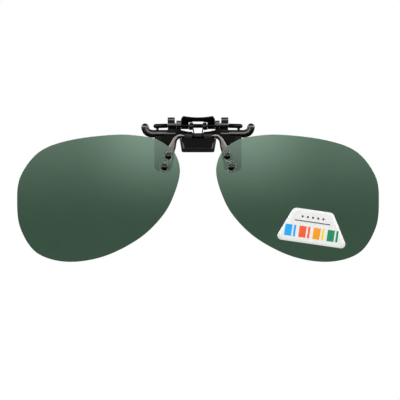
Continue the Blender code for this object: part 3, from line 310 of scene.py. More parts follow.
def makeClawBlack():
    finish = clawFinish
    material, paint = startPaint("claw_black")
    place = placeInMm(paint)
    dust = grain(paint, place, finish["dustSize"])
    peel = grain(paint, place, finish["peelSize"], detail=1.0)
    coat = mixColour(easedStep(dust, *finish["dustBand"]), finish["base"], finish["dusty"])
    up = alongAxis(place, "Z")
    # painted highlight: bands across the front of the post and the hub
    least, more = finish["highlightShare"]
    paintedHighlight = paintedStripe(up, *finish["postBand"]) * finish["postShare"] + paintedStripe(up, *finish["hubBand"])
    paintedHighlight = paintedHighlight * facingFront(paint) * (least + dust * more)
    finishPaint(paint, finish, mixColour(paintedHighlight, coat, finish["paintedHighlight"]), dust, peel)
    return material


gunmetalFinish = {
    "base": (0.126, 0.113, 0.105),
    "darker": (0.090, 0.080, 0.075),
    "blackened": (0.012, 0.0115, 0.011),
    "blackenedTo": (4.35, 4.65),  # mm out, past the cam and the bar beside it
    "blackenedWander": 0.4,  # mm
    # painted shade on the arms' lower and inner faces
    "shadedEdge": (0.010, 0.009, 0.009),
    "shadeDown": 0.6,  # painted shade falls on faces that look this much down and this much towards the nose
    "shadeInward": 0.8,
    "shadeBand": (0.12, 0.5),
    "shadedInnerEdge": [  # straight stretches of the arm's inner edge, where a band of painted shade runs: (share of out, share of up, offset in mm)
        (0.0, 1.0, -1.97), (0.812, 0.584, -7.003), (0.999, 0.051, -8.312), (0.967, 0.254, -7.741),
    ],
    "shadedInnerEdgeSoftness": 0.12,  # mm
    "roughness": 0.30,
    "spread": 0.12,
    "brushSize": (6.0, 0.05, 0.05),
    "relief": 0.08,
    "depth": 0.004 * mm,
    "plain": {"Metallic": 1.0},
}


def makeGunmetal():
    finish = gunmetalFinish
    material, paint = startPaint("gunmetal_plate")
    place = placeInMm(paint)
    stretch = tuple(1 / size for size in finish["brushSize"])
    brushed = paint.node("ShaderNodeVectorMath", {"operation": "MULTIPLY"}, {0: place, 1: stretch})
    lines = grain(paint, brushed, 1.0, detail=2.0)
    plate = mixColour(lines, finish["base"], finish["darker"])
    across = alongAxis(place, "X")
    up = across.other("Z")
    out = abs(across)
    bare = easedStep(uneven(out, lines, finish["blackenedWander"]), *finish["blackenedTo"])
    # painted shade on faces that look down and towards the nose
    leaning = facing(paint, "X")
    side = paint.maths("SIGN", across)
    shadeFacing = leaning.other("Z") * -finish["shadeDown"] - leaning * side * finish["shadeInward"]
    plate = mixColour(easedStep(shadeFacing, *finish["shadeBand"]), plate, finish["shadedEdge"])
    # painted shade: a dark band along the inner edge of each arm
    top, bend, neck, foot = (
        out * outShare + up * upShare + offset for outShare, upShare, offset in finish["shadedInnerEdge"]
    )
    within = paint.maths("MAXIMUM", paint.maths("MAXIMUM", top, bend), paint.maths("MINIMUM", neck, foot))
    soft = finish["shadedInnerEdgeSoftness"]
    plate = mixColour(easedStep(within, -soft, soft), finish["shadedEdge"], plate)
    finishPaint(paint, finish, mixColour(bare, finish["blackened"], plate), lines, lines)
    return material


rubberFinish = {
    "gloss": {"soft_rubber": 0.50, "dull_rubber": 0.10},
    "base": (0.006, 0.0058, 0.0055),
    "bloom": (0.014, 0.0135, 0.013),
    "bloomBand": (0.35, 0.8),
    "roughness": 0.18,
    "spread": 0.14,
    "bloomSize": 2.6,
    "skinSize": 0.16,
    "relief": 0.2,
    "depth": 0.01 * mm,
    "plain": {},
}


def makeRubber(name):
    finish = rubberFinish
    material, paint = startPaint(name)
    place = placeInMm(paint)
    bloom = grain(paint, place, finish["bloomSize"])
    skin = grain(paint, place, finish["skinSize"], detail=2.0)
    rubber = mixColour(easedStep(bloom, *finish["bloomBand"]), finish["base"], finish["bloom"])
    finishPaint(paint, finish, rubber, bloom, skin, {"Specular IOR Level": finish["gloss"][name]})
    return material


metalFinishes = {  # (base, darker, roughness, size of the marks in mm)
    "bright_steel": ((0.55, 0.54, 0.53), (0.40, 0.39, 0.385), 0.26, 0.6),
    "blackened_rivet": ((0.022, 0.022, 0.021), (0.012, 0.012, 0.0115), 0.16, 0.5),
    "spring_wire": ((0.050, 0.054, 0.066), (0.024, 0.026, 0.033), 0.28, 0.3),
}
metalMarks = {"spread": 0.1, "relief": 0.05, "depth": 0.004 * mm, "plain": {"Metallic": 1.0}}


def makeMetal(name):
    base, darker, roughness, markSize = metalFinishes[name]
    material, paint = startPaint(name)
    marks = grain(paint, placeInMm(paint), markSize, detail=4.0)
    finish = {**metalMarks, "roughness": roughness}
    finishPaint(paint, finish, mixColour(marks, base, darker), marks, marks)
    return material


clearFinish = {
    "base": (0.93, 0.95, 0.94),
    "scuffed": (0.86, 0.89, 0.88),
    "roughness": 0.10,
    "spread": 0.08,
    "scuffSize": 0.5,
    "plain": {"IOR": 1.45, "Transmission Weight": 1.0, "Alpha": 0.45},
}


def makeClearPlastic():
    finish = clearFinish
    material, paint = startPaint("clear_plastic")
    scuff = grain(paint, placeInMm(paint), finish["scuffSize"], detail=2.0)
    finishPaint(paint, finish, mixColour(scuff, finish["base"], finish["scuffed"]), scuff)
    return material


labelFinish = {
    "centre": (41.30, -31.00),  # mm
    "turn": 8.3,  # degrees
    "paper": (0.90, 0.90, 0.89),
    "fibre": (0.84, 0.84, 0.835),
    "back": (0.84, 0.84, 0.83),
    "ink": (0.05, 0.045, 0.06),
    "stripes": [  # (from, to, colour), mm across the label
        (-9.6, -7.0, (0.010, 0.41, 0.91)), (-6.4, -5.6, (0.010, 0.41, 0.91)),
        (-4.4, -1.8, (0.93, 0.115, 0.035)), (-1.2, -0.4, (0.93, 0.115, 0.035)),
        (0.8, 3.4, (0.95, 0.36, 0.012)), (4.0, 4.8, (0.93, 0.72, 0.02)),
        (6.0, 8.6, (0.006, 0.25, 0.10)), (9.2, 10.0, (0.006, 0.25, 0.10)),
    ],
    "stripeBand": (-4.3, -0.1),  # mm up the label
    "ruleBand": (1.5, 1.9),
    "ruleHalfWidth": 6.6,
    "dotRow": 3.35,
    "dotPitch": 1.9,
    "dotRadius": 0.42,
    "dotHalfWidth": 5.0,
    "edgeSoftness": 0.06,
    "rearBand": (-0.3, 0.3),  # how far a face has to look backwards
    "roughness": 0.42,
    "spread": 0.1,
    "fibreSize": 1 / 3,
    "relief": 0.06,
    "depth": 0.01 * mm,
    "plain": {"Coat Weight": 0.25, "Emission Strength": 0.34},  # painted light: the printed side glows a little
}


def makeLabelPaint():
    finish = labelFinish
    material, paint = startPaint("printed_label")
    middle = (finish["centre"][0], 0.0, finish["centre"][1])
    turn = (0.0, math.radians(finish["turn"]), 0.0)
    sockets = {"Vector": placeInMm(paint), "Location": middle, "Rotation": turn}
    flat = paint.node("ShaderNodeMapping", {"vector_type": "TEXTURE"}, sockets)
    across = alongAxis(flat, "X")
    up = across.other("Z")
    soft = finish["edgeSoftness"]

    def between(value, low, high):
        return easedStep(value, low - soft, low + soft) * (1 - easedStep(value, high - soft, high + soft))

    fibres = grain(paint, flat, finish["fibreSize"], detail=4.0)
    printed = mixColour(fibres, finish["paper"], finish["fibre"])
    band = between(up, *finish["stripeBand"])
    for low, high, ink in finish["stripes"]:
        printed = mixColour(between(across, low, high) * band, printed, ink)
    rule = between(up, *finish["ruleBand"]) * (abs(across) < finish["ruleHalfWidth"])
    printed = mixColour(rule, printed, finish["ink"])
    along = across.maths("PINGPONG", across, finish["dotPitch"] / 2)
    fromDot = (along ** 2 + (up - finish["dotRow"]) ** 2) ** 0.5
    dots = 1 - easedStep(fromDot, finish["dotRadius"] - soft, finish["dotRadius"] + soft)
    printed = mixColour(dots * (abs(across) < finish["dotHalfWidth"]), printed, finish["ink"])
    rear = easedStep(facing(paint, "Y"), *finish["rearBand"])
    paper = mixColour(rear, printed, finish["back"])  # the back is unprinted
    # painted light: the glow of the printed side
    glow = mixColour(rear, printed, (0, 0, 0))
    finishPaint(paint, finish, paper, fibres, fibres, {"Emission Color": glow})
    return material


paints = {
    "lens": makeLensPaint(),
    "blackMetal": makeBlackCoat(),
    "blackPlastic": makeMouldedBlack(),
    "clawBlack": makeClawBlack(),
    "gunmetal": makeGunmetal(),
    "rubber": makeRubber("soft_rubber"),
    "dullRubber": makeRubber("dull_rubber"),
    "steel": makeMetal("bright_steel"),
    "rivet": makeMetal("blackened_rivet"),
    "springSteel": makeMetal("spring_wire"),
    "clearPlastic": makeClearPlastic(),
    "label": makeLabelPaint(),
}
print("finishes made:", len(paints))


# Making pieces

meshing = {
    "weld": 0.001 * mm,  # corners this close are one
    "flat": 0.4,  # degrees between faces that are merged
    "spinSteps": 40,
    "roundTurn": 88,  # degrees over which a soft tube's end rounds off
    "cornerShare": 0.48,  # most of an edge that one rounded corner takes
}


def addObject(name, data):
    added = bpy.data.objects.new(name, data)
    bpy.context.scene.collection.objects.link(added)
    return added


def addPiece(name, mesh, paint, body, nodes, sharpFrom=35):
    piece = addObject(name, mesh)
    mesh.materials.clear()
    mesh.materials.append(paints[paint])
    mesh.shade_smooth()
    mesh.set_sharp_from_angle(angle=math.radians(sharpFrom))
    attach(piece, body)
    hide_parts(*nodes)
    return piece


def meshFrom(bm, name, recalculate=True):
    bmesh.ops.remove_doubles(bm, verts=bm.verts, dist=meshing["weld"])
    if recalculate:
        bmesh.ops.recalc_face_normals(bm, faces=bm.faces)
    mesh = bpy.data.meshes.new(name)
    bm.to_mesh(mesh)
    bm.free()
    return mesh


def softenEdges(piece, width, segments, fromAngle):
    bevel = piece.modifiers.new("softened_edges", "BEVEL")
    bevel.width = width
    bevel.segments = segments
    bevel.limit_method = "ANGLE"
    bevel.angle_limit = math.radians(fromAngle)
    bevel.harden_normals = True


def thicken(piece, thickness):  # a wall behind the sheet
    wall = piece.modifiers.new("thickness", "SOLIDIFY")
    wall.thickness = thickness
    wall.offset = -1


def loopEdges(bm, ring):
    return [bm.edges.new((ring[index - 1], ring[index])) for index in range(len(ring))]


def addBlock(bm, size, place, edge, segments):  # a box with softened edges
    block = bmesh.ops.create_cube(bm, size=1.0)["verts"]
    bmesh.ops.scale(bm, vec=size, verts=block)
    bmesh.ops.translate(bm, vec=place, verts=block)
    edges = [item for item in bm.edges if item.verts[0] in block and item.verts[1] in block]
    bmesh.ops.bevel(
        bm, geom=edges, offset=edge, affect="EDGES", segments=segments, profile=0.5, material=-1
    )


def roundOff(line, shares, ahead, radius, steps):  # closes a tube with a rounded end
    last = line[-1]
    for step in range(1, steps + 1):
        turn = math.radians(meshing["roundTurn"]) * step / steps
        line.append(last + Vector(ahead) * radius * math.sin(turn))
        shares.append(math.cos(turn))


def curveThrough(guides, steps, closed=False):
    guides = [Vector(guide) for guide in guides]
    count = len(guides)
    spans = count if closed else count - 1
    points = []
    for index in range(spans):
        start = guides[index]
        end = guides[(index + 1) % count]
        before = guides[index - 1] if closed or index > 0 else start * 2 - end
        after = guides[(index + 2) % count] if closed or index < spans - 1 else end * 2 - start
        for step in range(steps):
            t = step / steps
            points.append(0.5 * (
                2 * start + (end - before) * t
                + (2 * before - 5 * start + 4 * end - after) * t ** 2
                + (3 * start - before - 3 * end + after) * t ** 3
            ))
    if not closed:
        points.append(guides[-1])
    return points


def roundedCorners(corners, steps=8):  # (across, up, radius) corners become arcs
    points = []
    for index, (across, up, radius) in enumerate(corners):
        here = Vector((across, up))
        if radius == 0:
            points.append(here)
            continue
        toLast = Vector(corners[index - 1][:2]) - here
        toNext = Vector(corners[(index + 1) % len(corners)][:2]) - here
        half = toLast.angle(toNext) / 2
        reach = min(radius / math.tan(half), meshing["cornerShare"] * min(toLast.length, toNext.length))
        arcRadius = reach * math.tan(half)
        inward = (toLast.normalized() + toNext.normalized()).normalized()
        centre = here + inward * arcRadius / math.sin(half)
        first = here + toLast.normalized() * reach - centre
        last = here + toNext.normalized() * reach - centre
        turn = -first.angle_signed(last)
        for step in range(steps + 1):
            arm = first.copy()
            arm.rotate(Matrix.Rotation(turn * step / steps, 2))
            points.append(centre + arm)
    return points


def slabMesh(name, outline, frontY, backY):  # an upright slab with that outline
    bm = bmesh.new()
    ring = [bm.verts.new((point[0], frontY, point[1])) for point in outline]
    filled = bmesh.ops.contextual_create(bm, geom=loopEdges(bm, ring))["faces"]
    pushed = bmesh.ops.extrude_face_region(bm, geom=filled)
    moved = [item for item in pushed["geom"] if isinstance(item, bmesh.types.BMVert)]
    bmesh.ops.translate(bm, verts=moved, vec=(0, backY - frontY, 0))
    return meshFrom(bm, name)


def turnedMesh(name, profile, x, z, closed=False):  # (radius, y) points spun about a line along Y
    bm = bmesh.new()
    verts = [bm.verts.new((x + radius, y, z)) for radius, y in profile]
    pairs = list(zip(verts, verts[1:])) + ([(verts[-1], verts[0])] if closed else [])
    edges = [bm.edges.new(pair) for pair in pairs]
    bmesh.ops.spin(
        bm, geom=verts + edges, cent=(x, 0, z), axis=(0, 1, 0), angle=2 * math.pi,
        steps=meshing["spinSteps"], use_merge=True,
    )
    return meshFrom(bm, name)


def tubeMesh(name, points, radius, resolution, shares=None):  # shares of the radius, point by point
    curve = bpy.data.curves.new(name, "CURVE")
    curve.dimensions = "3D"
    curve.bevel_depth = radius
    curve.bevel_resolution = resolution
    curve.use_fill_caps = True
    spline = curve.splines.new("POLY")
    spline.points.add(len(points) - 1)
    for index, point in enumerate(points):
        spline.points[index].co = (*point, 1)
        spline.points[index].radius = shares[index] if shares else 1.0
    holder = addObject(name, curve)
    bpy.context.view_layer.update()
    rough = bpy.data.meshes.new_from_object(holder.evaluated_get(bpy.context.evaluated_depsgraph_get()))
    bpy.data.objects.remove(holder, do_unlink=True)
    bm = bmesh.new()
    bm.from_mesh(rough)
    return meshFrom(bm, name)


def domedSheet(name, outline, centre, frontY, rings):
    # rings drawn in from the outline, all set on a sphere about the centre of the lens's curve
    bm = bmesh.new()
    edges = loopEdges(bm, [bm.verts.new((point[0], 0, point[1])) for point in outline])
    middle = Vector((centre[0], 0, centre[1]))
    share = 1.0
    for ring in range(1, rings):
        nextShare = 1 - ring / rings
        grown = bmesh.ops.extrude_edge_only(bm, edges=edges)["geom"]
        verts = [item for item in grown if isinstance(item, bmesh.types.BMVert)]
        inner = set(verts)
        grownEdges = [item for item in grown if isinstance(item, bmesh.types.BMEdge)]
        edges = [edge for edge in grownEdges if inner.issuperset(edge.verts)]
        ratio = nextShare / share
        bmesh.ops.scale(bm, vec=(ratio, 1, ratio), space=Matrix.Translation(-middle), verts=verts)
        share = nextShare
    cap = bmesh.ops.contextual_create(bm, geom=edges)["faces"]
    bmesh.ops.poke(bm, faces=cap)
    side = 1 if middle.x > 0 else -1
    radius = lensSizes["frontRadius"] + lensFrontY - frontY
    for vert in bm.verts:
        away = math.hypot(vert.co.x - side * lensSizes["domeX"], vert.co.z - lensSizes["domeZ"])
        vert.co.y = frontY + radius - math.sqrt(radius ** 2 - away ** 2)
    mesh = meshFrom(bm, name)
    if sum(face.normal.y * face.area for face in mesh.polygons) > 0:
        mesh.flip_normals()
    return mesh


# Lenses

lensSizes = {
    "frontRadius": 265.0 * mm,
    "domeX": 11.425 * mm,
    "domeZ": -7.35 * mm,
    "outline": [  # shares of the width from the nose outward and of the height from the bottom up
        (0.397, 1.000), (0.219, 0.986), (0.122, 0.951), (0.034, 0.860),
        (0.000, 0.723), (0.031, 0.546), (0.106, 0.363), (0.253, 0.181),
        (0.473, 0.040), (0.699, 0.000), (0.881, 0.072), (0.979, 0.261),
        (1.000, 0.469), (0.979, 0.675), (0.863, 0.866), (0.672, 0.958),
    ],
    "stepsPerSpan": 12,
    "topRise": 0.20 * mm,  # above the solid's top
    "rings": 26,
    "thickness": 1.0 * mm,
    "edge": 0.14 * mm,
}
lensLow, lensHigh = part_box("lens_right")
lensFrontY = lensLow.y


def lensOutline(side):
    edge = curveThrough(lensSizes["outline"], lensSizes["stepsPerSpan"], closed=True)
    lowU = min(point.x for point in edge)
    spanU = max(point.x for point in edge) - lowU
    lowV = min(point.y for point in edge)
    spanV = max(point.y for point in edge) - lowV
    outline = []
    for point in edge:
        x = lensLow.x + (lensHigh.x - lensLow.x) * (point.x - lowU) / spanU
        z = lensLow.z + (lensHigh.z + lensSizes["topRise"] - lensLow.z) * (point.y - lowV) / spanV
        outline.append((side * x, z))
    return outline


def makeLens(sideName, side):
    outline = lensOutline(side)
    centre = (side * (lensLow.x + lensHigh.x) / 2, (lensLow.z + lensHigh.z) / 2)
    mesh = domedSheet("lens_sheet_" + sideName, outline, centre, lensFrontY, lensSizes["rings"])
    node = "lens_" + sideName
    piece = addPiece("tinted_lens_" + sideName, mesh, "lens", "lens_carrier", [node])
    thicken(piece, lensSizes["thickness"])
    softenEdges(piece, lensSizes["edge"], segments=2, fromAngle=50)


for sideName, side in sides.items():
    makeLens(sideName, side)
print("lenses made")


# Label on the right lens

labelSizes = {
    "topLeft": 7.5 * mm,
    "topRight": 6.9 * mm,
    "bottomLeft": 12.65 * mm,
    "bottomRight": 14.2 * mm,
    "height": 12.3 * mm,
    "topCorner": 2.0 * mm,
    "bottomCorner": 1.5 * mm,
    "thickness": 0.12 * mm,
    "standOff": 0.17 * mm,
    "rings": 7,
    "edgeStep": 0.8 * mm,
}


def dividedEdges(outline, longest):  # so that a straight edge can follow the dome
    points = []
    for index, end in enumerate(outline):
        start = outline[index - 1]
        steps = math.ceil((end - start).length / longest)
        points += [start.lerp(end, step / steps) for step in range(1, steps + 1)]
    return points


def makeLabel():
    high = labelSizes["height"] / 2
    topRounding = labelSizes["topCorner"]
    bottomRounding = labelSizes["bottomCorner"]
    corners = [
        (-labelSizes["topLeft"], high, topRounding),
        (-labelSizes["bottomLeft"], -high, bottomRounding),
        (labelSizes["bottomRight"], -high, bottomRounding),
        (labelSizes["topRight"], high, topRounding),
    ]
    middle = Vector(labelFinish["centre"]) * mm
    turn = Matrix.Rotation(-math.radians(labelFinish["turn"]), 2)
    upright = dividedEdges(roundedCorners(corners), labelSizes["edgeStep"])
    outline = [middle + turn @ point for point in upright]
    frontY = lensFrontY - labelSizes["standOff"]
    mesh = domedSheet("label_film", outline, middle, frontY, labelSizes["rings"])
    piece = addPiece("label_film", mesh, "label", "lens_carrier", ["label"])
    thicken(piece, labelSizes["thickness"])


makeLabel()
print("label made")


# Rivets and washers

rivetSizes = {
    "upper": (10.70 * mm, -5.35 * mm),  # out and up
    "lower": (12.15 * mm, -9.35 * mm),
    "shank": 0.50 * mm,
    "head": 1.15 * mm,
    "headHeight": 0.60 * mm,
    "headRim": 0.10 * mm,
    "headSteps": 10,
    "tail": 0.90 * mm,
    "tailHeight": 0.45 * mm,
    "tailEdge": 0.18 * mm,
    "washerBore": 0.60 * mm,
    "washerEdge": 0.08 * mm,
}


def rivetProfile(front, back):
    size = rivetSizes
    headBack = front + size["headHeight"]
    tailFront = back - size["tailHeight"]
    points = []
    for step in range(size["headSteps"] + 1):
        turn = math.pi / 2 * step / size["headSteps"]
        rise = (size["headHeight"] - size["headRim"]) * math.cos(turn)
        points.append((size["head"] * math.sin(turn), headBack - size["headRim"] - rise))
    return points + [
        (size["head"], headBack), (size["shank"], headBack), (size["shank"], tailFront),
        (size["tail"], tailFront), (size["tail"], back - size["tailEdge"]),
        (size["tail"] - size["tailEdge"], back), (0, back),
    ]


def washerProfile(low, high):
    edge = rivetSizes["washerEdge"]
    inner = rivetSizes["washerBore"]
    outer = (high.x - low.x) / 2
    corners = [(inner, low.y, 0), (outer, low.y, edge), (outer, high.y, edge), (inner, high.y, 0)]
    return roundedCorners(corners, steps=4)


def makeRivetSet(level, sideName, side):
    x, z = rivetSizes[level]
    ending = "_" + level + "_" + sideName
    low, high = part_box("lens_rivet" + ending)
    mesh = turnedMesh("rivet" + ending, rivetProfile(low.y, high.y), side * x, z)
    addPiece(
        "domed_rivet" + ending, mesh, "rivet", "lens_carrier", ["lens_rivet" + ending],
        sharpFrom=45,
    )
    for place in ("front", "rear"):
        node = place + "_washer" + ending
        low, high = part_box(node)
        mesh = turnedMesh(node, washerProfile(low, high), side * x, z, closed=True)
        addPiece(
            "clear_" + node, mesh, "clearPlastic", "lens_carrier", [node], sharpFrom=50,
        )


for sideName, side in sides.items():
    for level in ("upper", "lower"):
        makeRivetSet(level, sideName, side)
print("rivets and washers made")


# Lens bridge

bridgeSizes = {
    "barY": -2.80 * mm,
    "barZ": 2.08 * mm,
    "barRadius": 0.60 * mm,
    "barSegments": 32,
    "armStart": 5.15 * mm,
    "rootInset": 0.6 * mm,  # the arm begins this far inside the bar
    "rootShare": 0.9,  # of the neck's width
    "neck": 1.27 * mm,
    "tab": 3.80 * mm,
    "bends": [  # (outward, down, width) in mm from where the arm leaves the bar
        (1.70, 0.20, 1.67), (2.97, 1.11, 1.62), (3.63, 2.53, 2.00), (4.13, 3.92, 2.59), (4.88, 5.50, 3.14),
    ],
    "stepsPerSpan": 8,
    "endSteps": 12,
    "endTurn": 87,  # degrees over which the end rounds off
    "thickness": 0.80 * mm,
    "ringPoints": 28,
    "neckPower": 0.85,  # 1 makes a section oval and 0 square
    "tabPower": 0.30,
    "lastBendRing": 56,  # at the upper rivet, and the rings after it are as square as the tab
    "cam": 1.60 * mm,
    "camHalfWidth": 1.68 * mm,
    "camEdge": 0.30 * mm,
}


def armStations():  # (middle of the arm, way ahead, width) from the bar to the round end
    size = bridgeSizes
    route = [
        (size["armStart"] - size["rootInset"], size["barZ"], size["neck"] * size["rootShare"]),
        (size["armStart"], size["barZ"], size["neck"]),
    ]
    for outward, down, width in size["bends"]:
        route.append((size["armStart"] + outward * mm, size["barZ"] - down * mm, width * mm))
    route.append((*rivetSizes["upper"], size["tab"]))
    route.append((*rivetSizes["lower"], size["tab"]))
    line = curveThrough(route, size["stepsPerSpan"])
    stations = []
    for index, point in enumerate(line):
        ahead = line[min(index + 1, len(line) - 1)] - line[max(index - 1, 0)]
        stations.append((point.xy, ahead.xy.normalized(), point.z))
    middle, ahead, width = stations[-1]
    for step in range(1, size["endSteps"] + 1):
        turn = math.radians(size["endTurn"]) * step / size["endSteps"]
        stations.append((middle + ahead * width / 2 * math.sin(turn), ahead, width * math.cos(turn)))
    return stations


def addArm(bm, side):
    size = bridgeSizes
    rings = []
    for middle, ahead, width in armStations():
        across = Vector((-ahead.y, ahead.x))
        flatness = min(max((width - size["neck"]) / (size["tab"] - size["neck"]), 0), 1)
        power = size["neckPower"] + (size["tabPower"] - size["neckPower"]) * flatness
        if len(rings) > size["lastBendRing"]:
            power = size["tabPower"]
        ring = []
        for step in range(size["ringPoints"]):
            turn = 2 * math.pi * (step + 0.5) / size["ringPoints"]
            out = math.copysign(abs(math.cos(turn)) ** power, math.cos(turn)) * width / 2
            back = math.copysign(abs(math.sin(turn)) ** power, math.sin(turn)) * size["thickness"] / 2
            spot = middle + across * out
            ring.append(bm.verts.new((side * spot.x, size["barY"] + back, spot.y)))
        rings.append(loopEdges(bm, ring))
    for first, second in zip(rings, rings[1:]):
        bmesh.ops.bridge_loops(bm, edges=first + second)
    for end in (rings[0], rings[-1]):
        bmesh.ops.contextual_create(bm, geom=end)


def makeBridge():
    size = bridgeSizes
    bm = bmesh.new()
    reach = size["armStart"] + size["barRadius"]
    turn = Matrix.Rotation(math.radians(90), 4, "Y")
    middle = (0, size["barY"], size["barZ"])
    bmesh.ops.create_cone(
        bm, cap_ends=True, segments=size["barSegments"], radius1=size["barRadius"],
        radius2=size["barRadius"], depth=2 * reach, matrix=Matrix.Translation(middle) @ turn,
    )
    camSize = (2 * size["camHalfWidth"], size["cam"], size["cam"])
    addBlock(bm, camSize, middle, size["camEdge"], segments=4)
    for side in sides.values():
        addArm(bm, side)
    mesh = meshFrom(bm, "lens_bridge_metal")
    addPiece(
        "crossbar_and_arms", mesh, "gunmetal", "lens_carrier", ["lens_bridge"], sharpFrom=40,
    )


makeBridge()
print("lens bridge made")


# Claws and their soft sleeves

lowerClawSizes = {
    "x": 7.60 * mm,
    "y": 5.99 * mm,
    "z": 2.96 * mm,
    "start": 0.20 * mm,
    "turn": 1.70 * mm,
    "turnSteps": 12,
    "reach": 19.34 * mm,
    "tipZ": 6.75 * mm,
    "radius": 1.42 * mm,
    "hook": [(3.90, 0.00), (2.50, 0.02), (1.25, 0.38), (0.45, 1.10)],  # mm in from the tip's line, and up
    "hookSteps": 8,
    "lip": 0.12 * mm,
    "endSteps": 10,
    "resolution": 10,
}


def lowerClawLine(side):
    size = lowerClawSizes
    corner = Vector((size["x"] + size["turn"], size["y"] - size["turn"]))
    points = [
        Vector((size["x"], size["start"], size["z"])),
        Vector((size["x"], size["start"] + size["lip"], size["z"])),
    ]
    for step in range(size["turnSteps"] + 1):
        turn = math.pi / 2 * step / size["turnSteps"]
        points.append(Vector((
            corner.x - size["turn"] * math.cos(turn), corner.y + size["turn"] * math.sin(turn), size["z"],
        )))
    hook = [(size["reach"] - inward * mm, size["y"], size["z"] + up * mm) for inward, up in size["hook"]]
    hook.append((size["reach"], size["y"], size["tipZ"] - size["radius"]))
    points.extend(curveThrough(hook, size["hookSteps"]))
    return [Vector((side * point.x, point.y, point.z)) for point in points]


def makeLowerSleeve(sideName, side):
    size = lowerClawSizes
    line = lowerClawLine(side)
    shares = [1.0] * len(line)
    shares[0] = 1 - size["lip"] / size["radius"]
    roundOff(line, shares, (0, 0, 1), size["radius"], size["endSteps"])
    name = "lower_sleeve_" + sideName
    mesh = tubeMesh(name, line, size["radius"], size["resolution"], shares)
    addPiece(name, mesh, "rubber", "clip_base", ["lower_claw_sleeve_" + sideName], sharpFrom=60)


upperSleeveSizes = {
    "start": 11.14 * mm,
    "end": 16.30 * mm,
    "radius": 0.81 * mm,
    "y": 5.525 * mm,
    "z": 5.87 * mm,
    "drop": 0.15 * mm,  # from its mouth to its end
    "mouthShare": 0.86,  # of the radius
    "mouthDepth": 0.1 * mm,
    "endSteps": 8,
    "resolution": 8,
    "toothX": 14.80 * mm,
    "toothWidth": 1.00 * mm,
    "toothBottom": 4.38 * mm,
    "toothEdge": 0.18 * mm,
}


def makeUpperSleeve(sideName, side):
    size = upperSleeveSizes
    last = size["end"] - size["radius"]
    line = []
    shares = []
    for x, share in (
        (size["start"], size["mouthShare"]), (size["start"] + size["mouthDepth"], 1.0), (last, 1.0),
    ):
        fall = size["drop"] * (x - size["start"]) / (size["end"] - size["start"])
        line.append(Vector((side * x, size["y"], size["z"] - fall)))
        shares.append(share)
    roundOff(line, shares, (side, 0, 0), size["radius"], size["endSteps"])
    name = "upper_sleeve_" + sideName
    bm = bmesh.new()
    bm.from_mesh(tubeMesh(name, line, size["radius"], size["resolution"], shares))
    height = size["z"] - size["toothBottom"]
    toothSize = (size["toothWidth"], size["toothWidth"], height)
    toothPlace = (side * size["toothX"], size["y"], size["toothBottom"] + height / 2)
    addBlock(bm, toothSize, toothPlace, size["toothEdge"], segments=3)
    mesh = meshFrom(bm, "upper_sleeve_rubber_" + sideName)
    addPiece(
        name, mesh, "dullRubber", "upper_jaw", ["upper_claw_sleeve_" + sideName], sharpFrom=60,
    )


for sideName, side in sides.items():
    makeLowerSleeve(sideName, side)
    makeUpperSleeve(sideName, side)
print("sleeves made")


# Rest pads

padSizes = {
    "innerX": 8.45 * mm,
    "footInnerX": 9.60 * mm,
    "sideBottom": -3.40 * mm,
    "corner": 2.00 * mm,
    "innerCorner": 0.20 * mm,
    "topCorner": 0.50 * mm,
    "edge": 0.22 * mm,
}


def makeRestPad(sideName, side):
    size = padSizes
    low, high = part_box("rest_pad_right")
    corners = [
        (size["innerX"], high.z, size["innerCorner"]), (size["innerX"], size["sideBottom"], size["corner"]),
        (size["footInnerX"], low.z, size["corner"]), (high.x, low.z, size["corner"]),
        (high.x, high.z, size["topCorner"]),
    ]
    outline = [(side * point.x, point.y) for point in roundedCorners(corners)]
    mesh = slabMesh("rest_pad_" + sideName, outline, low.y, high.y)
    node = "rest_pad_" + sideName
    piece = addPiece("soft_rest_pad_" + sideName, mesh, "dullRubber", "clip_base", [node])
    softenEdges(piece, size["edge"], segments=3, fromAngle=40)


for sideName, side in sides.items():
    makeRestPad(sideName, side)
print("rest pads made")


# Jaw spring

springSizes = {
    "wire": 0.21 * mm,
    "coil": 1.18 * mm,
    "pitch": 0.43 * mm,
    "coilX": 1.87 * mm,
    "wholeTurns": 2,
    "loopHalfWidth": 1.40 * mm,
    "loopRise": 0.35 * mm,
    "coilY": -1.20 * mm,
    "coilZ": 5.56 * mm,
    "loopGap": 0.10 * mm,
    "tailAngle": 315.0,  # degrees
    "tailLength": 2.00 * mm,
    "pointsPerTurn": 28,
    "bendSteps": 6,
    "resolution": 3,
    "still": (0, -2.2 * mm, 4.3 * mm),  # a point on the wire, on the base's side
    "follows": (0, -1.4 * mm, 5.4 * mm),  # and one on the jaw's side
}


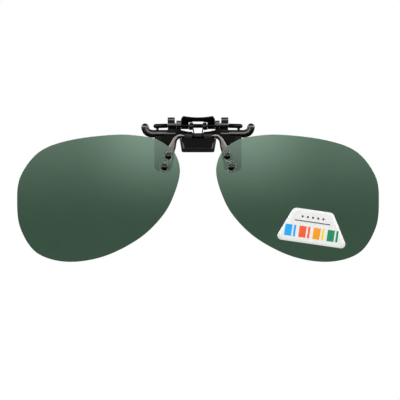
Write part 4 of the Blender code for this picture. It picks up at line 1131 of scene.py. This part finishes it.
def springHalf():
    size = springSizes
    bar = bridgeSizes
    camReach = bar["cam"] / 2 * math.sqrt(2) - bar["camEdge"] * (math.sqrt(2) - 1)
    loopY = bar["barY"] + camReach + size["loopGap"] + size["wire"]
    loopZ = bar["barZ"] + size["loopRise"]
    bend = 2 * size["wire"]
    toAxle = Vector((size["coilY"] - loopY, size["coilZ"] - loopZ))
    heading = math.atan2(toAxle.y, toAxle.x) + math.asin(size["coil"] / toAxle.length)
    legLength = math.sqrt(toAxle.length ** 2 - size["coil"] ** 2)
    slant = (size["coilX"] - size["loopHalfWidth"]) / legLength
    rise = Vector((slant, math.cos(heading), math.sin(heading)))
    corner = Vector((size["loopHalfWidth"], loopY, loopZ))
    points = [Vector((0, loopY, loopZ))]
    for step in range(size["bendSteps"] + 1):  # the loop's rounded corner
        turn = math.pi / 2 * step / size["bendSteps"]
        inward = Vector((bend * (1 - math.sin(turn)), 0, 0))
        points.append(corner - inward + rise * bend * (1 - math.cos(turn)))
    first = math.pi / 2 - heading
    last = math.radians(size["tailAngle"]) + 2 * math.pi * size["wholeTurns"]
    steps = round((last - first) / (2 * math.pi) * size["pointsPerTurn"])
    for step in range(steps + 1):
        turn = first + (last - first) * step / steps
        points.append(Vector((
            size["coilX"] + size["pitch"] * (turn - first) / (2 * math.pi),
            size["coilY"] - size["coil"] * math.cos(turn),
            size["coilZ"] + size["coil"] * math.sin(turn),
        )))
    points.append(points[-1] + Vector((0, math.sin(last), math.cos(last))) * size["tailLength"])
    return points


def makeSpring():
    right = springHalf()
    line = [Vector((-point.x, point.y, point.z)) for point in right[:0:-1]] + right
    mesh = tubeMesh("jaw_spring_wire", line, springSizes["wire"], springSizes["resolution"])
    piece = addObject("jaw_spring_wire", mesh)
    mesh.materials.append(paints["springSteel"])
    mesh.shade_smooth()
    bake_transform(piece)
    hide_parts("jaw_spring")


makeSpring()
print("jaw spring made")


# Pieces that keep the solids' own shape, with clean faces and even shading

clampSides = {  # side faces that leave less of a slit here: (distance out in the solids, distance here)
    "plate": (6.10 * mm, 6.17 * mm),
    "hub": (7.97 * mm, 7.90 * mm),
    "shoulder": (10.90 * mm, 11.04 * mm),
    "reach": 0.005 * mm,  # corners this near to the distance belong to the face
}
thumbSizes = {
    "sideFrom": 5.05 * mm,
    "sideOut": 0.13 * mm,
}
bushSizes = {
    "y": -1.20 * mm,
    "z": 5.70 * mm,
    "solidRadius": 0.62 * mm,
    "radius": 0.73 * mm,
    "reach": 0.02 * mm,
}


def movedSide(there, here):  # side faces move from one distance out to another
    def move(spot):
        if abs(abs(spot.x) - there) < clampSides["reach"]:
            spot.x = math.copysign(here, spot.x)
    return move


def widerPad(spot):
    if abs(spot.x) > thumbSizes["sideFrom"]:
        spot.x += math.copysign(thumbSizes["sideOut"], spot.x)


def thickerBush(spot):
    away = Vector((spot.y - bushSizes["y"], spot.z - bushSizes["z"]))
    if abs(away.length - bushSizes["solidRadius"]) < bushSizes["reach"]:
        spot.y, spot.z = Vector((bushSizes["y"], bushSizes["z"])) + away.normalized() * bushSizes["radius"]


def dressNode(node, name, paint, body, reshape=None):
    bm = bmesh.new()
    bm.from_mesh(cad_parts[node].data)
    bmesh.ops.remove_doubles(bm, verts=bm.verts, dist=meshing["weld"])
    if reshape:
        for vert in bm.verts:
            reshape(vert.co)
    flat = math.radians(meshing["flat"])
    bmesh.ops.dissolve_limit(bm, angle_limit=flat, verts=bm.verts, edges=bm.edges)
    mesh = meshFrom(bm, name, recalculate=False)
    piece = addPiece(name, mesh, paint, body, [node], sharpFrom=32)
    shade = piece.modifiers.new("even_normals", "WEIGHTED_NORMAL")
    shade.keep_sharp = True


dressNode(
    "base_bracket", "base_bracket_body", "blackMetal", "clip_base",
    reshape=movedSide(*clampSides["shoulder"]),
)
dressNode("thumb_pad", "thumb_pad_body", "blackPlastic", "clip_base", reshape=widerPad)
dressNode(
    "finger_plate", "finger_plate_body", "blackPlastic", "upper_jaw",
    reshape=movedSide(*clampSides["plate"]),
)
dressNode("jaw_axle", "jaw_axle_pin", "steel", "upper_jaw")
dressNode(
    "axle_bush", "axle_bush_sleeve", "blackPlastic", "upper_jaw", reshape=thickerBush
)
for sideName in sides:
    dressNode(
        "upper_claw_" + sideName, "upper_claw_body_" + sideName, "clawBlack", "upper_jaw",
        reshape=movedSide(*clampSides["hub"]),
    )
    dressNode("thumb_rivet_" + sideName, "thumb_rivet_pin_" + sideName, "steel", "clip_base")
    dressNode("lower_claw_wire_" + sideName, "lower_claw_core_" + sideName, "steel", "clip_base")
print("clamp dressed")


# Floor, light and camera

studio = {
    "floorZ": -0.125,  # metres, as all lengths here
    "floorRadius": 0.22,
    "floorSegments": 96,
    "floorColour": (0.85, 0.85, 0.85),
    "floorFadeFrom": 0.11,
    "floorFadeTo": 0.97,  # share of the radius, where it has turned into the room
    "floorGlow": 0.42,
    "ambient": 0.50,
    "ceiling": 0.2,  # more of it from above
    "ceilingRise": (0.2, 0.95),  # share of a ray that goes up
    "glossyRoom": 0.03,
    "behind": 0.40,
    "behindFrom": (-0.15, 0.45),  # share of a ray that goes back
    "behindRise": (-0.1, 0.1),  # share of it that goes up
    "frontFrom": (0.3, 0.7),  # share of a ray that comes forward, for the window and the band
    "windowStrength": 2.65,
    "windowRise": (-12.0, 9.0),  # degrees of height over which it comes up
    "windowEase": 1.4,
    "windowTop": (11.0, 40.0),  # degrees of height over which it fades
    "windowSides": (3.0, 17.0),  # degrees from the middle over which it fades
    "windowSideLoss": 0.58,
    "bandRise": (7.0, 14.0),
    "bandTop": (36.0, 50.0),
    "bandStrength": 4.5,
    "sideRise": (48.0, 58.0),  # degrees from the middle, left and right
    "sideTop": (72.0, 84.0),
    "sideFoot": (0.0, 8.0),  # degrees of height
    "sideHead": (35.0, 50.0),
    "sideStrength": 9.0,
    "lightAim": (0, 0, -0.015),
    "keyPower": 0.55,
    "keyPlace": (-0.12, -0.34, 0.56),
    "keySize": (0.60, 0.14),
    "fillPower": 0.20,
    "fillPlace": (0.46, -0.24, 0.30),
    "fillSize": (0.25, 0.25),
}


def seenRays(paint):  # 1 for what the camera sees straight or through a lens
    camera = paint.node("ShaderNodeLightPath", output="Is Camera Ray")
    return paint.maths("MAXIMUM", camera, camera.other("Is Transmission Ray"))


def makeWorld():
    world = bpy.data.worlds.new("studio_room")
    bpy.context.scene.world = world
    world.use_nodes = True
    world.node_tree.nodes.clear()
    world.cycles.sampling_method = "NONE"  # so each ray meets the side of the room meant for it
    paint = Wire(world.node_tree)
    heading = paint.node("ShaderNodeTexCoord", output="Generated")
    sideways = alongAxis(heading, "X")
    up = sideways.other("Z")
    back = sideways.other("Y")
    front = easedStep(-1 * back, *studio["frontFrom"])

    aside = abs(sideways)

    def faded(value, name):  # from 0 to 1 over the angles of that name
        low, high = studio[name]
        return easedStep(value, math.sin(math.radians(low)), math.sin(math.radians(high)))

    window = faded(up, "windowRise") ** studio["windowEase"] * (1 - faded(up, "windowTop"))
    window = window * (1 - faded(aside, "windowSides") * studio["windowSideLoss"])
    window = window * front * studio["windowStrength"]
    band = faded(up, "bandRise") * (1 - faded(up, "bandTop")) * studio["bandStrength"] * front
    panels = faded(aside, "sideRise") * (1 - faded(aside, "sideTop"))
    panels = panels * faded(up, "sideFoot") * (1 - faded(up, "sideHead")) * studio["sideStrength"]
    behind = easedStep(back, *studio["behindFrom"]) * easedStep(up, *studio["behindRise"])
    behind = behind * studio["behind"]
    glossy = studio["glossyRoom"] + window + band + panels + behind
    plain = studio["ambient"] + easedStep(up, *studio["ceilingRise"]) * studio["ceiling"]
    isGlossy = paint.node("ShaderNodeLightPath", output="Is Glossy Ray")
    level = glossy * isGlossy + plain * (1 - isGlossy)
    seen = seenRays(paint)
    strength = paint.maths("MAXIMUM", level * (1 - seen), seen)
    room = paint.node("ShaderNodeBackground", {}, {"Color": (1, 1, 1, 1), "Strength": strength})
    paint.node("ShaderNodeOutputWorld", {}, {"Surface": room})


def makeFloor():
    bm = bmesh.new()
    low = Matrix.Translation((0, 0, studio["floorZ"]))
    bmesh.ops.create_circle(
        bm, cap_ends=True, segments=studio["floorSegments"], radius=studio["floorRadius"], matrix=low
    )
    mesh = bpy.data.meshes.new("floor")
    bm.to_mesh(mesh)
    bm.free()
    floor = addObject("floor", mesh)
    material, paint = startPaint("pale_floor")
    across = alongAxis(paint.node("ShaderNodeTexCoord", output="Object"), "X")
    fromMiddle = (across ** 2 + across.other("Y") ** 2) ** 0.5
    outer = easedStep(fromMiddle, studio["floorFadeFrom"], studio["floorRadius"] * studio["floorFadeTo"])
    isGlossy = paint.node("ShaderNodeLightPath", output="Is Glossy Ray")
    seen = seenRays(paint)
    pale = mixColour(isGlossy, studio["floorColour"], (0, 0, 0))
    plain = paint.node("ShaderNodeBsdfDiffuse", {}, {"Color": mixColour(outer, pale, (0, 0, 0))})
    dim = isGlossy * studio["glossyRoom"]
    inner = seen * studio["floorGlow"] + dim
    room = paint.maths("MAXIMUM", seen, dim + (1 - isGlossy) * studio["ambient"] * (1 - seen))
    glow = paint.node("ShaderNodeEmission", {}, {"Strength": inner * (1 - outer) + room * outer})
    both = paint.node("ShaderNodeAddShader", {}, {0: plain, 1: glow})
    paint.node("ShaderNodeOutputMaterial", {}, {"Surface": both})
    mesh.materials.append(material)


def addSoftLight(name, power, place, size):
    light = bpy.data.lights.new(name, "AREA")
    light.energy = power
    light.shape = "RECTANGLE"
    light.size, light.size_y = size
    holder = addObject(name, light)
    holder.location = place
    aim = Vector(studio["lightAim"]) - Vector(place)
    holder.rotation_euler = aim.to_track_quat("-Z", "Y").to_euler()


photoView = {
    "mmPerPixel": 0.3626,
    "middlePixel": (198.0, 141.5),  # where x = 0, z = 0 stand in the picture
    "pixels": 400,
    "focal": 400.0,
    "sensor": 36.0,
    "planeY": -4.0 * mm,  # the depth at which the scale holds
}


def addCamera():
    view = photoView
    width = view["mmPerPixel"] * view["pixels"] * mm
    x = (view["pixels"] / 2 - view["middlePixel"][0]) * view["mmPerPixel"] * mm
    z = (view["middlePixel"][1] - view["pixels"] / 2) * view["mmPerPixel"] * mm
    lens = bpy.data.cameras.new("photo_camera")
    lens.lens = view["focal"]
    lens.sensor_width = view["sensor"]
    camera = addObject("photo_camera", lens)
    camera.location = (x, view["planeY"] - width * view["focal"] / view["sensor"], z)
    camera.rotation_euler = (math.radians(90), 0, 0)
    bpy.context.scene.camera = camera


makeWorld()
makeFloor()
addSoftLight("key_light", studio["keyPower"], studio["keyPlace"], studio["keySize"])
addSoftLight("fill_light", studio["fillPower"], studio["fillPlace"], studio["fillSize"])
addCamera()
bpy.context.scene.view_settings.view_transform = "Standard"
print("studio ready")

bpy.context.view_layer.update()
